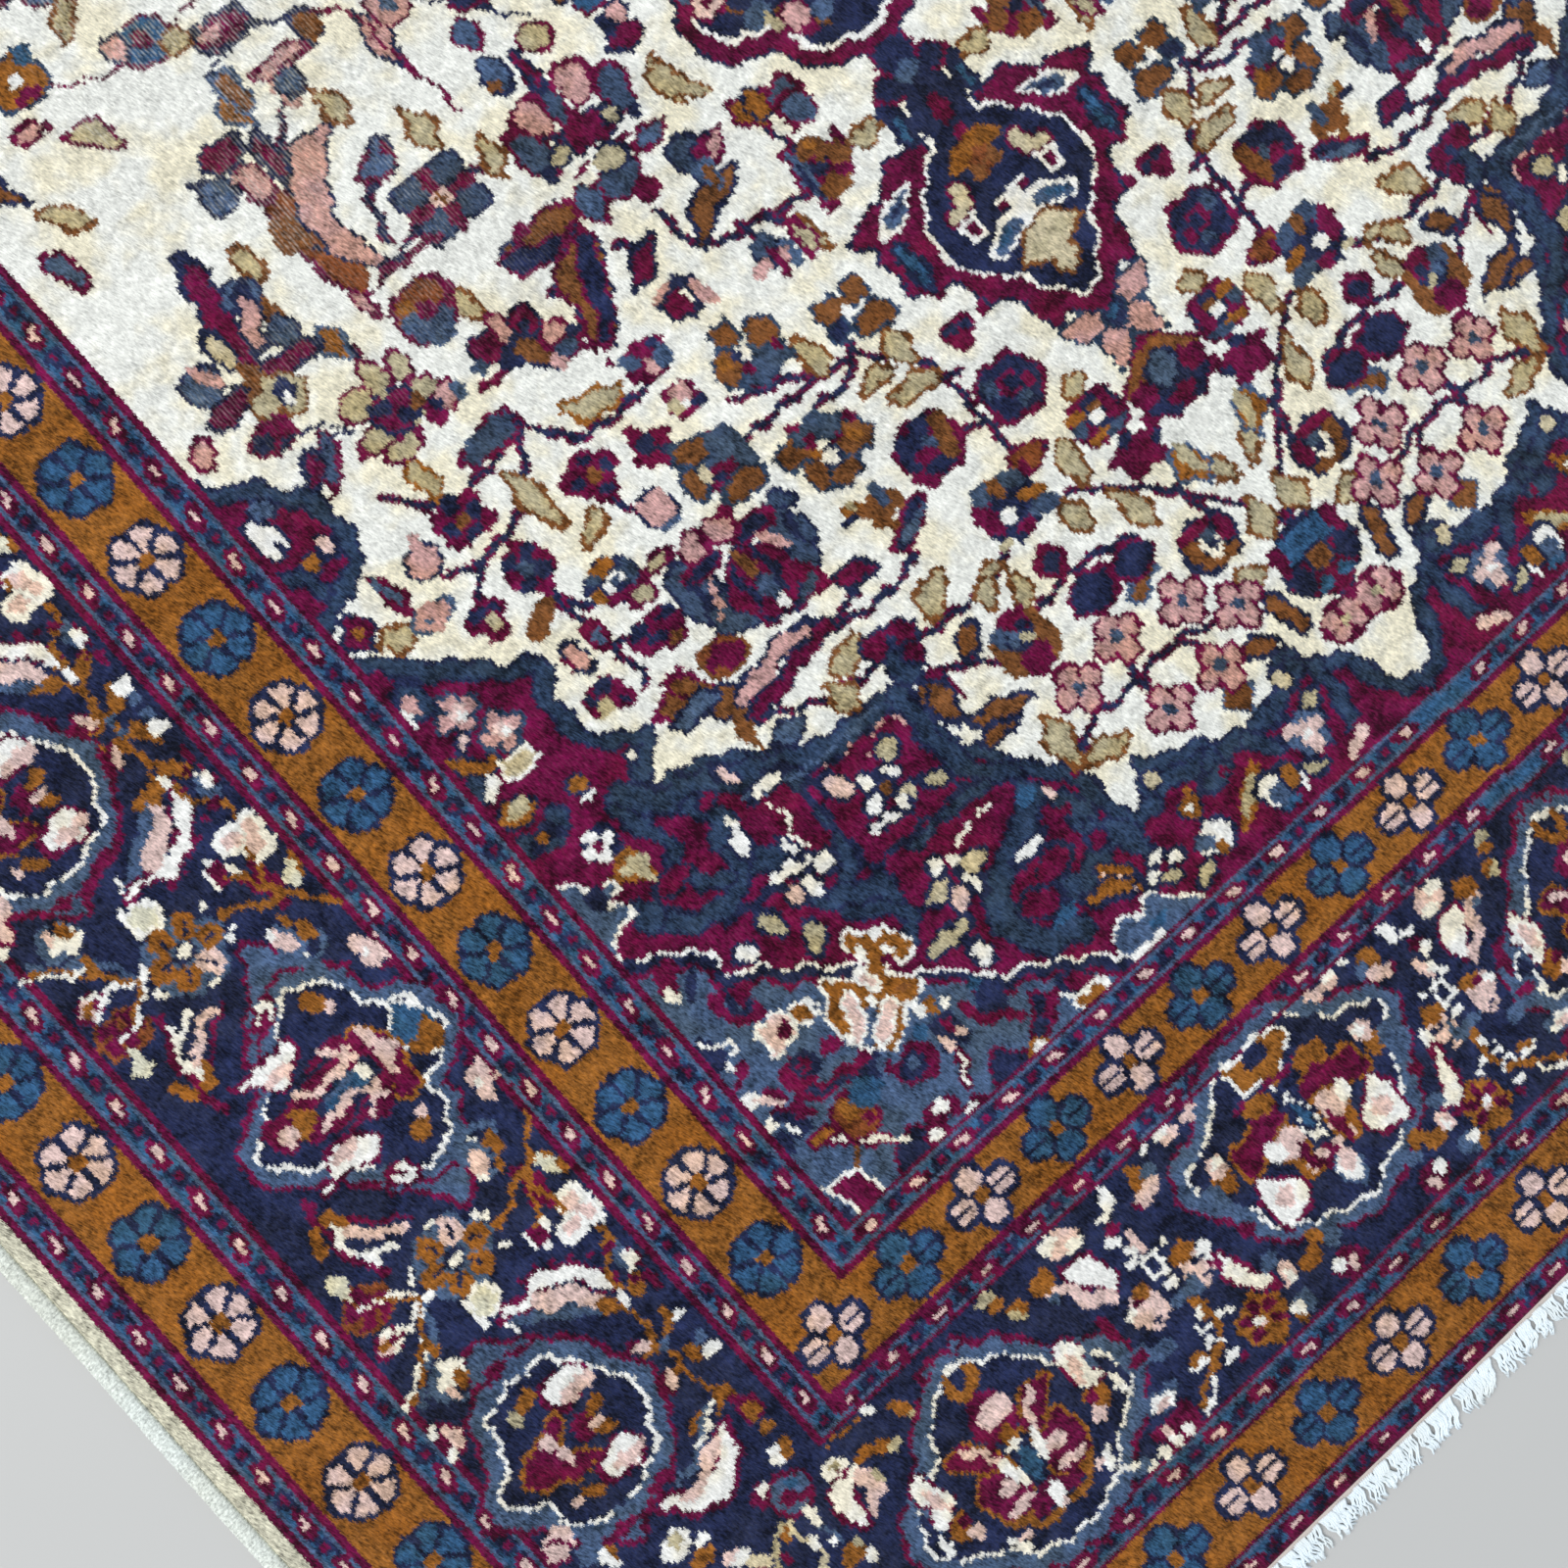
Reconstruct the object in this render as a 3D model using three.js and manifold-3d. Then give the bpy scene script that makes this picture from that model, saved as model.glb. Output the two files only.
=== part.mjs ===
// Hand-knotted wool rug with a medallion design, lying flat and face up.
// Millimetres, +Z up. X runs across the rug and Y along its warps. The origin is the middle of the underside.
// The second long side and the second end are the first ones turned half round, so the part is alike from both ends.

import * as THREE from 'three';
import { mergeVertices } from 'three/addons/utils/BufferGeometryUtils.js';
import Module from 'manifold-3d';

// Driving dimensions
const RUG_WIDTH = 2000;          // over both selvage cords
const RUG_LENGTH = 3000;         // between the two woven ends, without the fringe
const CLOTH_THICKNESS = 9;       // from the floor to the tips of the pile
const CLOTH_UNEVEN = 0.5;        // how far the pile rises and falls over the rug
const PILE_EDGE_HEIGHT = 5.5;    // the pile leans over at its rim
const PILE_EDGE_STEPS = [2, 6];  // distances from the rim at which the pile has nearly, and then fully, risen
const CORD_WIDTH = 10.5;         // overcast selvage cord, lying flattened
const CORD_HEIGHT = 8;
const FRINGE_STRIP_WIDTH = 5;    // the last wefts, which bind the warps before they run out
const FRINGE_STRIP_HEIGHT = 2.4;
const FRINGE_LENGTH = 24;        // from the woven end to the tip of the longest lock
const LOCKS_PER_END = 150;
const LOCK_ROOT_WIDTH = 8;
const LOCK_TIP_WIDTH = 4.6;
const LOCK_ROOT_HEIGHT = 2.2;
const LOCK_TIP_HEIGHT = 1.5;
const GAP = 0.3;                 // between pieces that touch

// How finely the curved forms are cut
const STEPS_ACROSS = 22;
const STEPS_ALONG = 32;
const CORD_SIDES = 12;
const LOCK_STEPS = 2;
const LOCK_SIDES = 4;

const HALF_WIDTH = RUG_WIDTH / 2;
const HALF_LENGTH = RUG_LENGTH / 2;
const CLOTH_HALF_WIDTH = HALF_WIDTH - CORD_WIDTH - GAP;

const wasm = await Module();
wasm.setup();

// How far the long edge wanders in from its furthest reach, at y along the rug
function sideDrift(y) {
  const slow = 1.1 * (1 - Math.cos((2 * Math.PI * y) / 1150 + 0.6));
  const quick = 0.5 * (1 - Math.cos((2 * Math.PI * y) / 420 + 2.1));
  return slow + quick;
}

// How far the woven end wanders in from its furthest reach, at x across the rug
function endDrift(x) {
  const slow = 1.0 * (1 - Math.cos((2 * Math.PI * x) / 900 + 1.3));
  const quick = 0.4 * (1 - Math.cos((2 * Math.PI * x) / 310 + 0.4));
  return slow + quick;
}

// The height of the pile above the floor, away from the rim
function pileHeight(x, y) {
  const long = Math.cos((2 * Math.PI * x) / 760) * Math.cos((2 * Math.PI * y) / 980);
  const short = Math.cos((2 * Math.PI * (x + y)) / 350) * Math.cos((2 * Math.PI * (x - 0.6 * y)) / 410);
  return CLOTH_THICKNESS - CLOTH_UNEVEN + CLOTH_UNEVEN * (0.6 * long + 0.4 * short);
}

// Places of the grid lines on one axis: the rim, the two steps inside it, and an even spread between
function gridLines(half, steps) {
  const inner = half - PILE_EDGE_STEPS[1];
  const spread = steps - 4;
  const middle = Array.from({ length: spread + 1 }, (_, i) => -inner + (2 * inner * i) / spread);
  return [-half, -half + PILE_EDGE_STEPS[0], ...middle, half - PILE_EDGE_STEPS[0], half];
}

const linesAcross = gridLines(CLOTH_HALF_WIDTH, STEPS_ACROSS);
const linesAlong = gridLines(HALF_LENGTH, STEPS_ALONG);

// A point of the cloth's plan, from its place on a rug with straight edges
function onPlan(x, y) {
  const left = -CLOTH_HALF_WIDTH + sideDrift(y);
  const right = CLOTH_HALF_WIDTH - sideDrift(-y);
  const front = -HALF_LENGTH + endDrift(x);
  const back = HALF_LENGTH - endDrift(-x);
  const across = (x / CLOTH_HALF_WIDTH + 1) / 2;
  const along = (y / HALF_LENGTH + 1) / 2;
  return [left + (right - left) * across, front + (back - front) * along];
}

// Takes a geometry down to its bare points, with each shared point kept once
function bare(geometry) {
  geometry.deleteAttribute('normal');
  geometry.deleteAttribute('uv');
  return mergeVertices(geometry, 1e-5);
}

// Moves every point of a geometry by place(x, y, z), which returns the new point
function shaped(geometry, place) {
  const at = geometry.attributes.position;
  for (let i = 0; i < at.count; i += 1) {
    at.setXYZ(i, ...place(at.getX(i), at.getY(i), at.getZ(i)));
  }
  return geometry;
}

function finished(geometry) {
  const faces = geometry.toNonIndexed();
  faces.computeVertexNormals();
  return faces;
}

function solidOf(geometry) {
  return new wasm.Manifold(new wasm.Mesh({
    numProp: 3,
    vertProperties: new Float32Array(geometry.attributes.position.array),
    triVerts: new Uint32Array(geometry.index.array),
  }));
}

function geometryOf(solid) {
  const mesh = solid.getMesh();
  const geometry = new THREE.BufferGeometry();
  geometry.setAttribute('position', new THREE.BufferAttribute(new Float32Array(mesh.vertProperties), 3));
  geometry.setIndex(new THREE.BufferAttribute(new Uint32Array(mesh.triVerts), 1));
  return geometry;
}

// The knotted cloth with its pile: flat underneath, gently uneven on top, rounded down at its rim
function clothGeometry() {
  const box = bare(new THREE.BoxGeometry(STEPS_ACROSS, STEPS_ALONG, 1, STEPS_ACROSS, STEPS_ALONG, 1));
  return finished(shaped(box, (i, j, k) => {
    const column = Math.round(i + STEPS_ACROSS / 2);
    const row = Math.round(j + STEPS_ALONG / 2);
    const [x, y] = onPlan(linesAcross[column], linesAlong[row]);
    if (k < 0) return [x, y, 0];
    const fromRim = Math.min(column, row, STEPS_ACROSS - column, STEPS_ALONG - row);
    const full = pileHeight(x, y);
    if (fromRim === 0) return [x, y, PILE_EDGE_HEIGHT];
    if (fromRim === 1) return [x, y, full - (full - PILE_EDGE_HEIGHT) / 4];
    return [x, y, full];
  }));
}

// The overcast cord along the left side, a flattened round with a face on the floor
function cordGeometry() {
  const turn = Math.PI / CORD_SIDES;
  const cord = bare(new THREE.CylinderGeometry(1, 1, 1, CORD_SIDES, STEPS_ALONG, false, turn));
  const flat = Math.cos(turn);
  return finished(shaped(cord, (a, t, b) => {
    const row = Math.round((t + 0.5) * STEPS_ALONG);
    const [rim, y] = onPlan(-CLOTH_HALF_WIDTH, linesAlong[row]);
    const middle = rim - GAP - CORD_WIDTH / 2;
    return [middle + ((a / flat) * CORD_WIDTH) / 2, y, CORD_HEIGHT / 2 + ((b / flat) * CORD_HEIGHT) / 2];
  }));
}

// The strip of last wefts at the front end, which follows the cloth's edge
function stripGeometry() {
  const box = bare(new THREE.BoxGeometry(STEPS_ACROSS, 1, 1, STEPS_ACROSS, 1, 1));
  return shaped(box, (i, j, k) => {
    const [x, edge] = onPlan(linesAcross[Math.round(i + STEPS_ACROSS / 2)], -HALF_LENGTH);
    const y = j > 0 ? edge - GAP : edge - GAP - FRINGE_STRIP_WIDTH;
    return [x, y, k > 0 ? FRINGE_STRIP_HEIGHT : 0];
  });
}

// How a lock lies, by its number: its length, its lean and its bend to the side
function lockLie(number) {
  const own = Math.sin(number * 12.9898) * 43758.5453;
  const chance = own - Math.floor(own);
  const lean = 5 * Math.sin(number * 0.21 + 0.4) + 2.5 * Math.sin(number * 0.067);
  return {
    length: FRINGE_LENGTH - 5 * chance,
    lean,
    bend: 1.6 * Math.sin(number * 2.4),
    fullness: 0.85 + 0.15 * Math.cos(number * 1.7),
  };
}

// One lock of warp ends: a four-sided strand on the floor, thinner and narrower towards its tip
function lockGeometry(number) {
  const lie = lockLie(number);
  const pitch = (2 * CLOTH_HALF_WIDTH) / LOCKS_PER_END;
  const rootX = -CLOTH_HALF_WIDTH + pitch * (number + 0.5);
  const [x0, edge] = onPlan(rootX, -HALF_LENGTH);
  const rootY = edge - GAP - FRINGE_STRIP_WIDTH / 2;
  const tipY = -HALF_LENGTH - lie.length;
  const lock = bare(new THREE.CylinderGeometry(1, 1, 1, LOCK_SIDES, LOCK_STEPS, false, Math.PI / LOCK_SIDES));
  const flat = Math.cos(Math.PI / LOCK_SIDES);
  return shaped(lock, (a, t, b) => {
    const out = 0.5 - t;
    const width = lie.fullness * (LOCK_ROOT_WIDTH + (LOCK_TIP_WIDTH - LOCK_ROOT_WIDTH) * out);
    const height = LOCK_ROOT_HEIGHT + (LOCK_TIP_HEIGHT - LOCK_ROOT_HEIGHT) * out;
    const sway = lie.lean * out * out + lie.bend * Math.sin(Math.PI * out);
    const x = x0 + sway + ((a / flat) * width) / 2;
    return [x, rootY + (tipY - rootY) * out, height / 2 + ((b / flat) * height) / 2];
  });
}

function fringeGeometry() {
  let fringe = solidOf(stripGeometry());
  for (let number = 0; number < LOCKS_PER_END; number += 1) {
    fringe = fringe.add(solidOf(lockGeometry(number)));
  }
  return finished(geometryOf(fringe));
}

function piece(name, geometry, material, turned) {
  const mesh = new THREE.Mesh(geometry, material);
  mesh.name = name;
  if (turned) mesh.rotation.z = Math.PI;
  return mesh;
}

const pileWool = new THREE.MeshStandardMaterial({ color: 0x6a2c3c, roughness: 0.95, metalness: 0 });
const overcastWool = new THREE.MeshStandardMaterial({ color: 0xd8d3c4, roughness: 0.9, metalness: 0 });
const warpCotton = new THREE.MeshStandardMaterial({ color: 0xe6e6e4, roughness: 0.9, metalness: 0 });

const cord = cordGeometry();
const fringe = fringeGeometry();

const rug = new THREE.Group();
rug.name = 'rug';
rug.add(piece('pile_cloth', clothGeometry(), pileWool, false));
rug.add(piece('selvage_left', cord, overcastWool, false));
rug.add(piece('selvage_right', cord.clone(), overcastWool.clone(), true));
rug.add(piece('fringe_front', fringe, warpCotton, false));
rug.add(piece('fringe_back', fringe.clone(), warpCotton.clone(), true));

export default rug;
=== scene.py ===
from math import pi, radians

import bmesh
import bpy
import numpy as np
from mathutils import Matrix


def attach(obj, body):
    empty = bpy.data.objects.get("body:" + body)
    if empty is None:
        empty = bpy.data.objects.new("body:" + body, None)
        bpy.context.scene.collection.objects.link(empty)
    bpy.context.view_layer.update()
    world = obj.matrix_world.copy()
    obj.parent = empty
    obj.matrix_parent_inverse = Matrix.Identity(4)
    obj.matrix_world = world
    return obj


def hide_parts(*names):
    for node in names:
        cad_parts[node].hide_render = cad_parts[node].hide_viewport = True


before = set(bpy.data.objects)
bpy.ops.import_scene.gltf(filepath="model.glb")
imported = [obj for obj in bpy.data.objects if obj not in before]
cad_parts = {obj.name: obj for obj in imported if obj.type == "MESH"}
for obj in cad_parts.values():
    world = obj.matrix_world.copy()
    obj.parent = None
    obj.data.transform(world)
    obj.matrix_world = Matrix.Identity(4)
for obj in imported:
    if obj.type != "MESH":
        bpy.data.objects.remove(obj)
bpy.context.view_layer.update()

# The sixteen dyes, in the order in which a knot's number names them
(
    IVORY, NAVY, CRIMSON, GOLD, BLUE, STEEL, BLUSH, WHITE,
    ROSE, KHAKI, BROWN, CREAM, SLATE, RUST, DUSK, BEIGE,
) = range(16)

# Places on the chart are in millimetres: a goes across from the left selvage's outer edge, and b along from
# the front woven end. The chart ends at the rug's two middle lines.
SELVAGE = 10.8
MIDDLE_ACROSS, MIDDLE_ALONG = 1000.0, 1500.0
KNOTS_ACROSS, KNOTS_ALONG = 352, 528
PITCH_ACROSS = (MIDDLE_ACROSS - SELVAGE) / KNOTS_ACROSS
PITCH_ALONG = MIDDLE_ALONG / KNOTS_ALONG
chart = np.zeros((KNOTS_ALONG, KNOTS_ACROSS), int)
across = SELVAGE + (np.arange(KNOTS_ACROSS) + 0.5) * PITCH_ACROSS
along = (np.arange(KNOTS_ALONG) + 0.5) * PITCH_ALONG
ONE_KNOT = 2.8

# Where motifs are knotted: a scale and a shift across, then along. A scale below 0 turns the motif over.
OWN = (1, 0, 1, 0)
copies = [OWN]


def again(*places):
    """Sets where the motifs that follow are knotted."""
    copies[:] = places


class Form:
    """A shape on the chart: how far it reaches, and its depth(x, y), in mm outside its edge."""
    def __init__(self, reach, depth):
        self.reach, self.depth = reach, depth


def knot(form, dye, at, turn=0, rim=None, rim_width=ONE_KNOT, waver=0.9):
    """Knots a form at each of its places, with the small waver of a hand."""
    reach = form.reach + rim_width + 3 * waver
    c, s = np.cos(radians(turn)), np.sin(radians(turn))
    for across_scale, across_shift, along_scale, along_shift in copies:
        a, b = across_scale * at[0] + across_shift, along_scale * at[1] + along_shift
        i0, i1 = np.searchsorted(across, [a - reach, a + reach])
        j0, j1 = np.searchsorted(along, [b - reach, b + reach])
        if i0 == i1 or j0 == j1:
            continue
        x, y = np.meshgrid((across[i0:i1] - a) / across_scale, (along[j0:j1] - b) / along_scale)
        quick = waver * 0.7
        slow = min(form.reach, 30) * 0.07 * waver
        x = x + quick * np.sin(0.6 * y + b) + slow * np.sin(0.21 * y + 0.13 * x + a)
        y = y + quick * np.sin(0.55 * x + a) + slow * np.sin(0.23 * x - 0.11 * y + b)
        depth = form.depth(c * x + s * y, c * y - s * x)
        part = chart[j0:j1, i0:i1]
        if rim is not None:
            part[depth < rim_width] = rim
        if dye is not None:
            part[depth < 0] = dye


def oval(rx, ry):
    def depth(x, y):
        return ((np.abs(x / rx) ** 2.5 + np.abs(y / ry) ** 2.5) ** 0.4 - 1) * min(rx, ry)
    return Form(max(rx, ry) + 1, depth)


def block(rx, ry):
    return Form(np.hypot(rx, ry) + 1, lambda x, y: np.maximum(np.abs(x) - rx, np.abs(y) - ry))


def petals(count, far, near, turn=90, ry=1.0, power=0.7):
    def depth(x, y):
        y = y / ry
        beat = np.abs(np.cos(count * (np.arctan2(y, x) - radians(turn)) / 2))
        return np.hypot(x, y) - near - (far - near) * beat**power
    return Form(far * max(1, ry) + 2, depth)


def leaf(length, width, bend):
    """A leaf from its stalk end along +y."""
    def depth(x, y):
        t = np.clip(y / length, 0, 1)
        side = np.abs(x - bend * 4 * t * (1 - t)) - width / 2 * np.sin(pi * t) ** 0.8
        return np.maximum(side, np.maximum(-y, y - length))
    return Form(length + abs(bend) + 2, depth)


def drop(rx, ry, own):
    """An oval with one fuller end, each a little different by its own number from -1 to 1."""
    power = 1.9 + 0.5 * own

    def depth(x, y):
        full = 1 + 0.3 * own * np.clip(x / rx if rx > ry else y / ry, -1.2, 1.2)
        x, y = np.abs(x / rx / full), np.abs(y / ry / full)
        return ((x**power + y**power) ** (1 / power) - 1) * min(rx, ry)
    return Form(max(rx, ry) * 1.3 + 1, depth)


def smooth(points, closed):
    """A smooth line through the points, with six steps from each to the next."""
    n = len(points)
    if closed:
        q = [points[(i + k) % n] for i in range(n) for k in (-1, 0, 1, 2)]
    else:
        q = [points[min(max(i + k, 0), n - 1)] for i in range(n - 1) for k in (-1, 0, 1, 2)]
    q = np.array(q).reshape(-1, 4, 2)
    t = (np.arange(6) / 6)[None, :, None]
    a, b, c, d = (q[:, k][:, None] for k in range(4))
    line = 0.5 * (2 * b + (c - a) * t + (2 * a - 5 * b + 4 * c - d) * t**2 + (3 * b - a - 3 * c + d) * t**3)
    line = line.reshape(-1, 2)
    return line if closed else np.vstack([line, points[-1]])


def distance(x, y, line, closed):
    """How far a place is from a line, with a minus inside a closed one."""
    ends = np.roll(line, -1, 0) if closed else line[1:]
    starts = line if closed else line[:-1]
    best = np.full(x.shape, 1e9)
    inside = np.zeros(x.shape, bool)
    for (ax, ay), (bx, by) in zip(starts, ends):
        dx, dy = bx - ax, by - ay
        t = np.clip(((x - ax) * dx + (y - ay) * dy) / (dx * dx + dy * dy + 1e-12), 0, 1)
        best = np.minimum(best, np.hypot(x - ax - t * dx, y - ay - t * dy))
        if closed and ay != by:
            inside ^= ((ay > y) != (by > y)) & (x < ax + dx * (y - ay) / (by - ay))
    return np.where(inside, -best, best) if closed else best


def drawn(points, width=0.0, closed=True):
    """The form of a closed outline, or of an open line of a width, and where its middle is."""
    points = np.array(points, float)
    middle = (points.min(0) + points.max(0)) / 2
    line = smooth(points - middle, closed)
    reach = np.abs(points - middle).max() + width + 8
    return Form(reach, lambda x, y: distance(x, y, line, closed) - width / 2), tuple(middle)


def blot(dye, rim, *points, rim_width=ONE_KNOT):
    """A closed outline, by its places on the quarter."""
    form, middle = drawn(points)
    knot(form, dye, middle, rim=rim, rim_width=rim_width)


def vine(dye, width, *points, rim=None):
    """A line of even width, by its places on the quarter."""
    form, middle = drawn(points, width, closed=False)
    knot(form, dye, middle, rim=rim)


def dabs(*rows):
    """Small drops: dye, place across and along, half width, half height, and then turn and rim."""
    for dye, a, b, rx, ry, *turn_and_rim in rows:
        knot(drop(rx, ry, np.sin(7.3 * a + 3.1 * b)), dye, (a, b), *turn_and_rim)


def one_leaf(dye, rim, a, b, length, width, turn, bend=0, half=None):
    knot(leaf(length - 1, width - 1.4, bend), dye, (a, b), turn, rim, 4)
    if half is not None:
        c, s = np.cos(radians(turn)), np.sin(radians(turn))
        beside = (a + c * width * 0.2 - s * length * 0.03, b + s * width * 0.2 + c * length * 0.03)
        knot(leaf(length * 0.94, width * 0.46, bend), half, beside, turn)


def leaves(*rows):
    """Leaves: dye, rim, place of the stalk end, length, width, turn, then bend and dye of a second half."""
    for row in rows:
        one_leaf(*row)


def around(a, b, count, wide, high, start):
    """Numbers and places on a round, from a start in radians."""
    for k in range(count):
        turn = k * 2 * pi / count + start
        yield k, (a + wide * np.cos(turn), b + high * np.sin(turn))


def bloom(a, b, count, far, near, outer, inner, heart, rim):
    """A round flower: petals in a rim, smaller petals inside, and a heart."""
    knot(petals(count, far, near), outer, (a, b), 0, rim)
    knot(petals(count, far * 0.62, near * 0.55), inner, (a, b))
    knot(oval(far * 0.24, far * 0.24), heart, (a, b))


def flower(a, b, body, *spots, rim=None):
    """A flower: its body's dye and half sizes, then uneven petals as in dabs, but placed from its middle."""
    dye, rx, ry = body
    knot(oval(rx + 0.8, ry + 0.8), dye, (a, b), 0, rim)
    for dye, x, y, wide, high, *turn_and_rim in spots:
        knot(oval(wide, high), dye, (a + x, b + y), *turn_and_rim)


def ringed(widths, *points):
    """A navy ground in crimson, steel and white lines, by how far out each of them reaches."""
    for dye, width in zip((CRIMSON, STEEL, WHITE), widths):
        blot(None, dye, *points, rim_width=width)
    blot(NAVY, None, *points)


# The stripes of the borders, from the outside in: where each starts, from the long edge and the woven end
STRIPES = [
    (SELVAGE, 0, BEIGE), (23, 0, CRIMSON), (26.5, 4.5, STEEL), (30, 6, BLUE), (43, 16, STEEL),
    (45.8, 18.5, CRIMSON), (50, 22, GOLD), (107.5, 82, CRIMSON), (111.5, 85, STEEL), (115, 88, BLUE),
    (129, 101.5, STEEL), (132.5, 104.5, CRIMSON), (136, 107, NAVY), (318, 281, CRIMSON),
    (321.5, 284, STEEL), (325, 286.5, BLUE), (337, 296.5, STEEL), (340.5, 299.5, CRIMSON),
    (344, 303, GOLD), (402.5, 356, CRIMSON), (406.5, 361.5, STEEL), (410, 364, BLUE), (423, 374.5, STEEL),
    (427, 377, CRIMSON), (431, 380, IVORY),
]
A, B = np.meshgrid(across, along)
for from_side, from_end, dye in STRIPES:
    chart[(A > from_side) & (B > from_end)] = dye


# Narrow guard stripes: slanting pink dashes in crimson, and navy rings with a crimson eye between them
def guard(middle, start, pitch, upright):
    """One stripe, by its middle line, its first dash and the pitch of its dashes."""
    stop, turn = (MIDDLE_ALONG, 0) if upright else (MIDDLE_ACROSS, 90)
    for k in range(2 * int((stop - start) / pitch) + 1):
        at = start + k * pitch / 2
        spot = (middle, at) if upright else (at, middle)
        if k % 2 == 0:
            knot(oval(5.8, 12.4), CRIMSON, spot, turn - 12, waver=0.3)
            knot(oval(2.3, 5.4), BLUSH, spot, turn - 12, waver=0.4)
            continue
        for way in (-1, 1):
            onward = at + way * 7.5
            arm = (middle - way * 3, onward) if upright else (onward, middle + way * 3)
            knot(oval(1.8, 6), NAVY, arm, turn + 20, waver=0.3)
        knot(oval(6, 7), NAVY, spot, turn, waver=0.5)
        knot(oval(2.8, 3.2), CRIMSON, spot, turn, waver=0.3)


for middle, start, pitch in ((37, 30, 41), (122.5, 112, 41), (331.5, 312, 40.5), (417, 392, 40.2)):
    guard(middle, start, pitch, True)
for middle, start, pitch in ((10, 52, 43.2), (95, 140, 43.2), (291.5, 351, 43.5), (369.5, 442, 43.3)):
    guard(middle, start, pitch, False)
for a, b in ((37, 10), (122.5, 95), (331.5, 291.5), (417, 369.5)):
    knot(oval(5.4, 5.4), NAVY, (a, b))
    knot(oval(2.2, 2.2), CRIMSON, (a, b))
    knot(oval(4.6, 4.6), CRIMSON, (a + 14, b))
    knot(oval(4.6, 4.6), CRIMSON, (a, b + 14))


# Gold bands: six-petalled rosettes up the sides, four-lobed ones along the ends, pink and blue in turn
def side_rosette(a, b, dye):
    reach, spoke = (23.6, 2.0) if dye == BLUE else (22.6, 2.4)

    def wedges(x, y):
        r, way = np.hypot(x, y), np.arctan2(y, x)
        from_petal = np.abs((way % radians(60) + radians(30)) % radians(60) - radians(30))
        from_spoke = r * np.sin(radians(30) - from_petal)
        bulge = reach - 1.2 * (1 - np.cos(6 * way))
        return np.maximum(np.maximum(r - bulge, 5.5 - r), spoke - from_spoke)
    knot(petals(6, 27, 24, 0, 0.97, 0.5), NAVY, (a, b), waver=0.4)
    knot(Form(27, wedges), dye, (a, b), waver=0.4)
    knot(block(4.8, 4.6), GOLD, (a, b), waver=0.4)


def end_rosette(a, b, dye):
    wide, tall, rim = (10, 9, 3.4) if dye == BLUE else (7.8, 8.2, 4.6)
    upper, lower = (0, 14.5, wide, tall), (0, -13.5, wide, tall)
    lobes = (upper, lower, (-16.5, 0, tall + 0.6, tall), (17, 0, tall + 0.4, tall))
    for dx, dy, rx, ry in lobes:
        knot(oval(rx, ry), None, (a + dx, b + dy), rim=NAVY, rim_width=rim, waver=0.5)
    for dx, dy, rx, ry in lobes:
        knot(oval(rx, ry), dye, (a + dx, b + dy), waver=0.5)
    for way in (-1, 1):
        knot(block(8.6, 1.4), NAVY, (a + way * 18, b), waver=0.2)
        knot(block(1.4, 5), NAVY, (a + way * 9.5, b + 8.5), -45 * way, waver=0.2)
        knot(block(1.4, 5), NAVY, (a + way * 9.5, b - 8.5), 45 * way, waver=0.2)
    knot(block(4.8, 5.4), GOLD, (a, b), waver=0.4)


def rosettes(column, row, pitch_along, pitch_across):
    """One gold band: up the side from its corner rosette, and along the end from the same."""
    for k in range(1, int((MIDDLE_ALONG - row) / pitch_along) + 1):
        side_rosette(column, row + k * pitch_along, BLUE if k % 2 else BLUSH)
    for k in range(int((MIDDLE_ACROSS - column) / pitch_across + 0.1) + 1):
        end_rosette(column + k * pitch_across, row, BLUE if k % 2 else BLUSH)


rosettes(81, 52, 70.6, 73.44)
rosettes(374, 331, 70.2, 69.56)


# Main border, along the sides. A palmette faces outwards at 400, 960 and 1500 mm from the end
again(OWN, (1, 0, 1, 560), (1, 0, -1, 1900))
blot(
    STEEL, CRIMSON, (170, 440), (176, 478), (190, 492), (205, 480), (228, 462), (245, 440), (200, 420),
    rim_width=4,
)
blot(STEEL, CRIMSON, (165, 365), (180, 330), (192, 318), (205, 332), (240, 350), (200, 380), rim_width=4)
ringed(
    (17, 13, 2.7), (139, 398), (150, 409), (160, 420), (166, 440), (174, 451), (200, 455), (220, 452),
    (238, 432), (246, 412), (254, 398), (248, 382), (238, 362), (222, 351), (198, 347), (178, 349),
    (166, 358), (160, 378), (148, 388),
)
dabs(
    (NAVY, 200, 400, 36, 42), (CRIMSON, 190, 469, 7, 5), (CRIMSON, 186, 332, 6, 5),
    (CRIMSON, 222, 338, 20, 3, 20),
)
blot(
    CRIMSON, GOLD, (158, 398), (172, 412), (190, 416), (203, 420), (192, 402), (206, 380), (190, 380),
    (172, 386),
)
dabs(
    (BLUSH, 186, 408, 5, 5), (BLUSH, 190, 397, 4, 9), (CRIMSON, 212, 399, 9, 9),
    (GOLD, 222, 406, 8, 4, 20), (GOLD, 224, 390, 8, 4, -20), (BLUSH, 220, 398, 7, 3.4),
    (GOLD, 192, 440, 9, 4.6, 30), (KHAKI, 180, 434, 3.6, 5.4), (GOLD, 190, 363, 9, 4.4, -40),
    (BLUSH, 176, 367, 4, 4),
)
for b, low in ((430, 424), (369, 366)):
    dabs((WHITE, 221, b, 16, 11, 0, CRIMSON), (BLUSH, 222, low, 13, 5.5))

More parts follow.
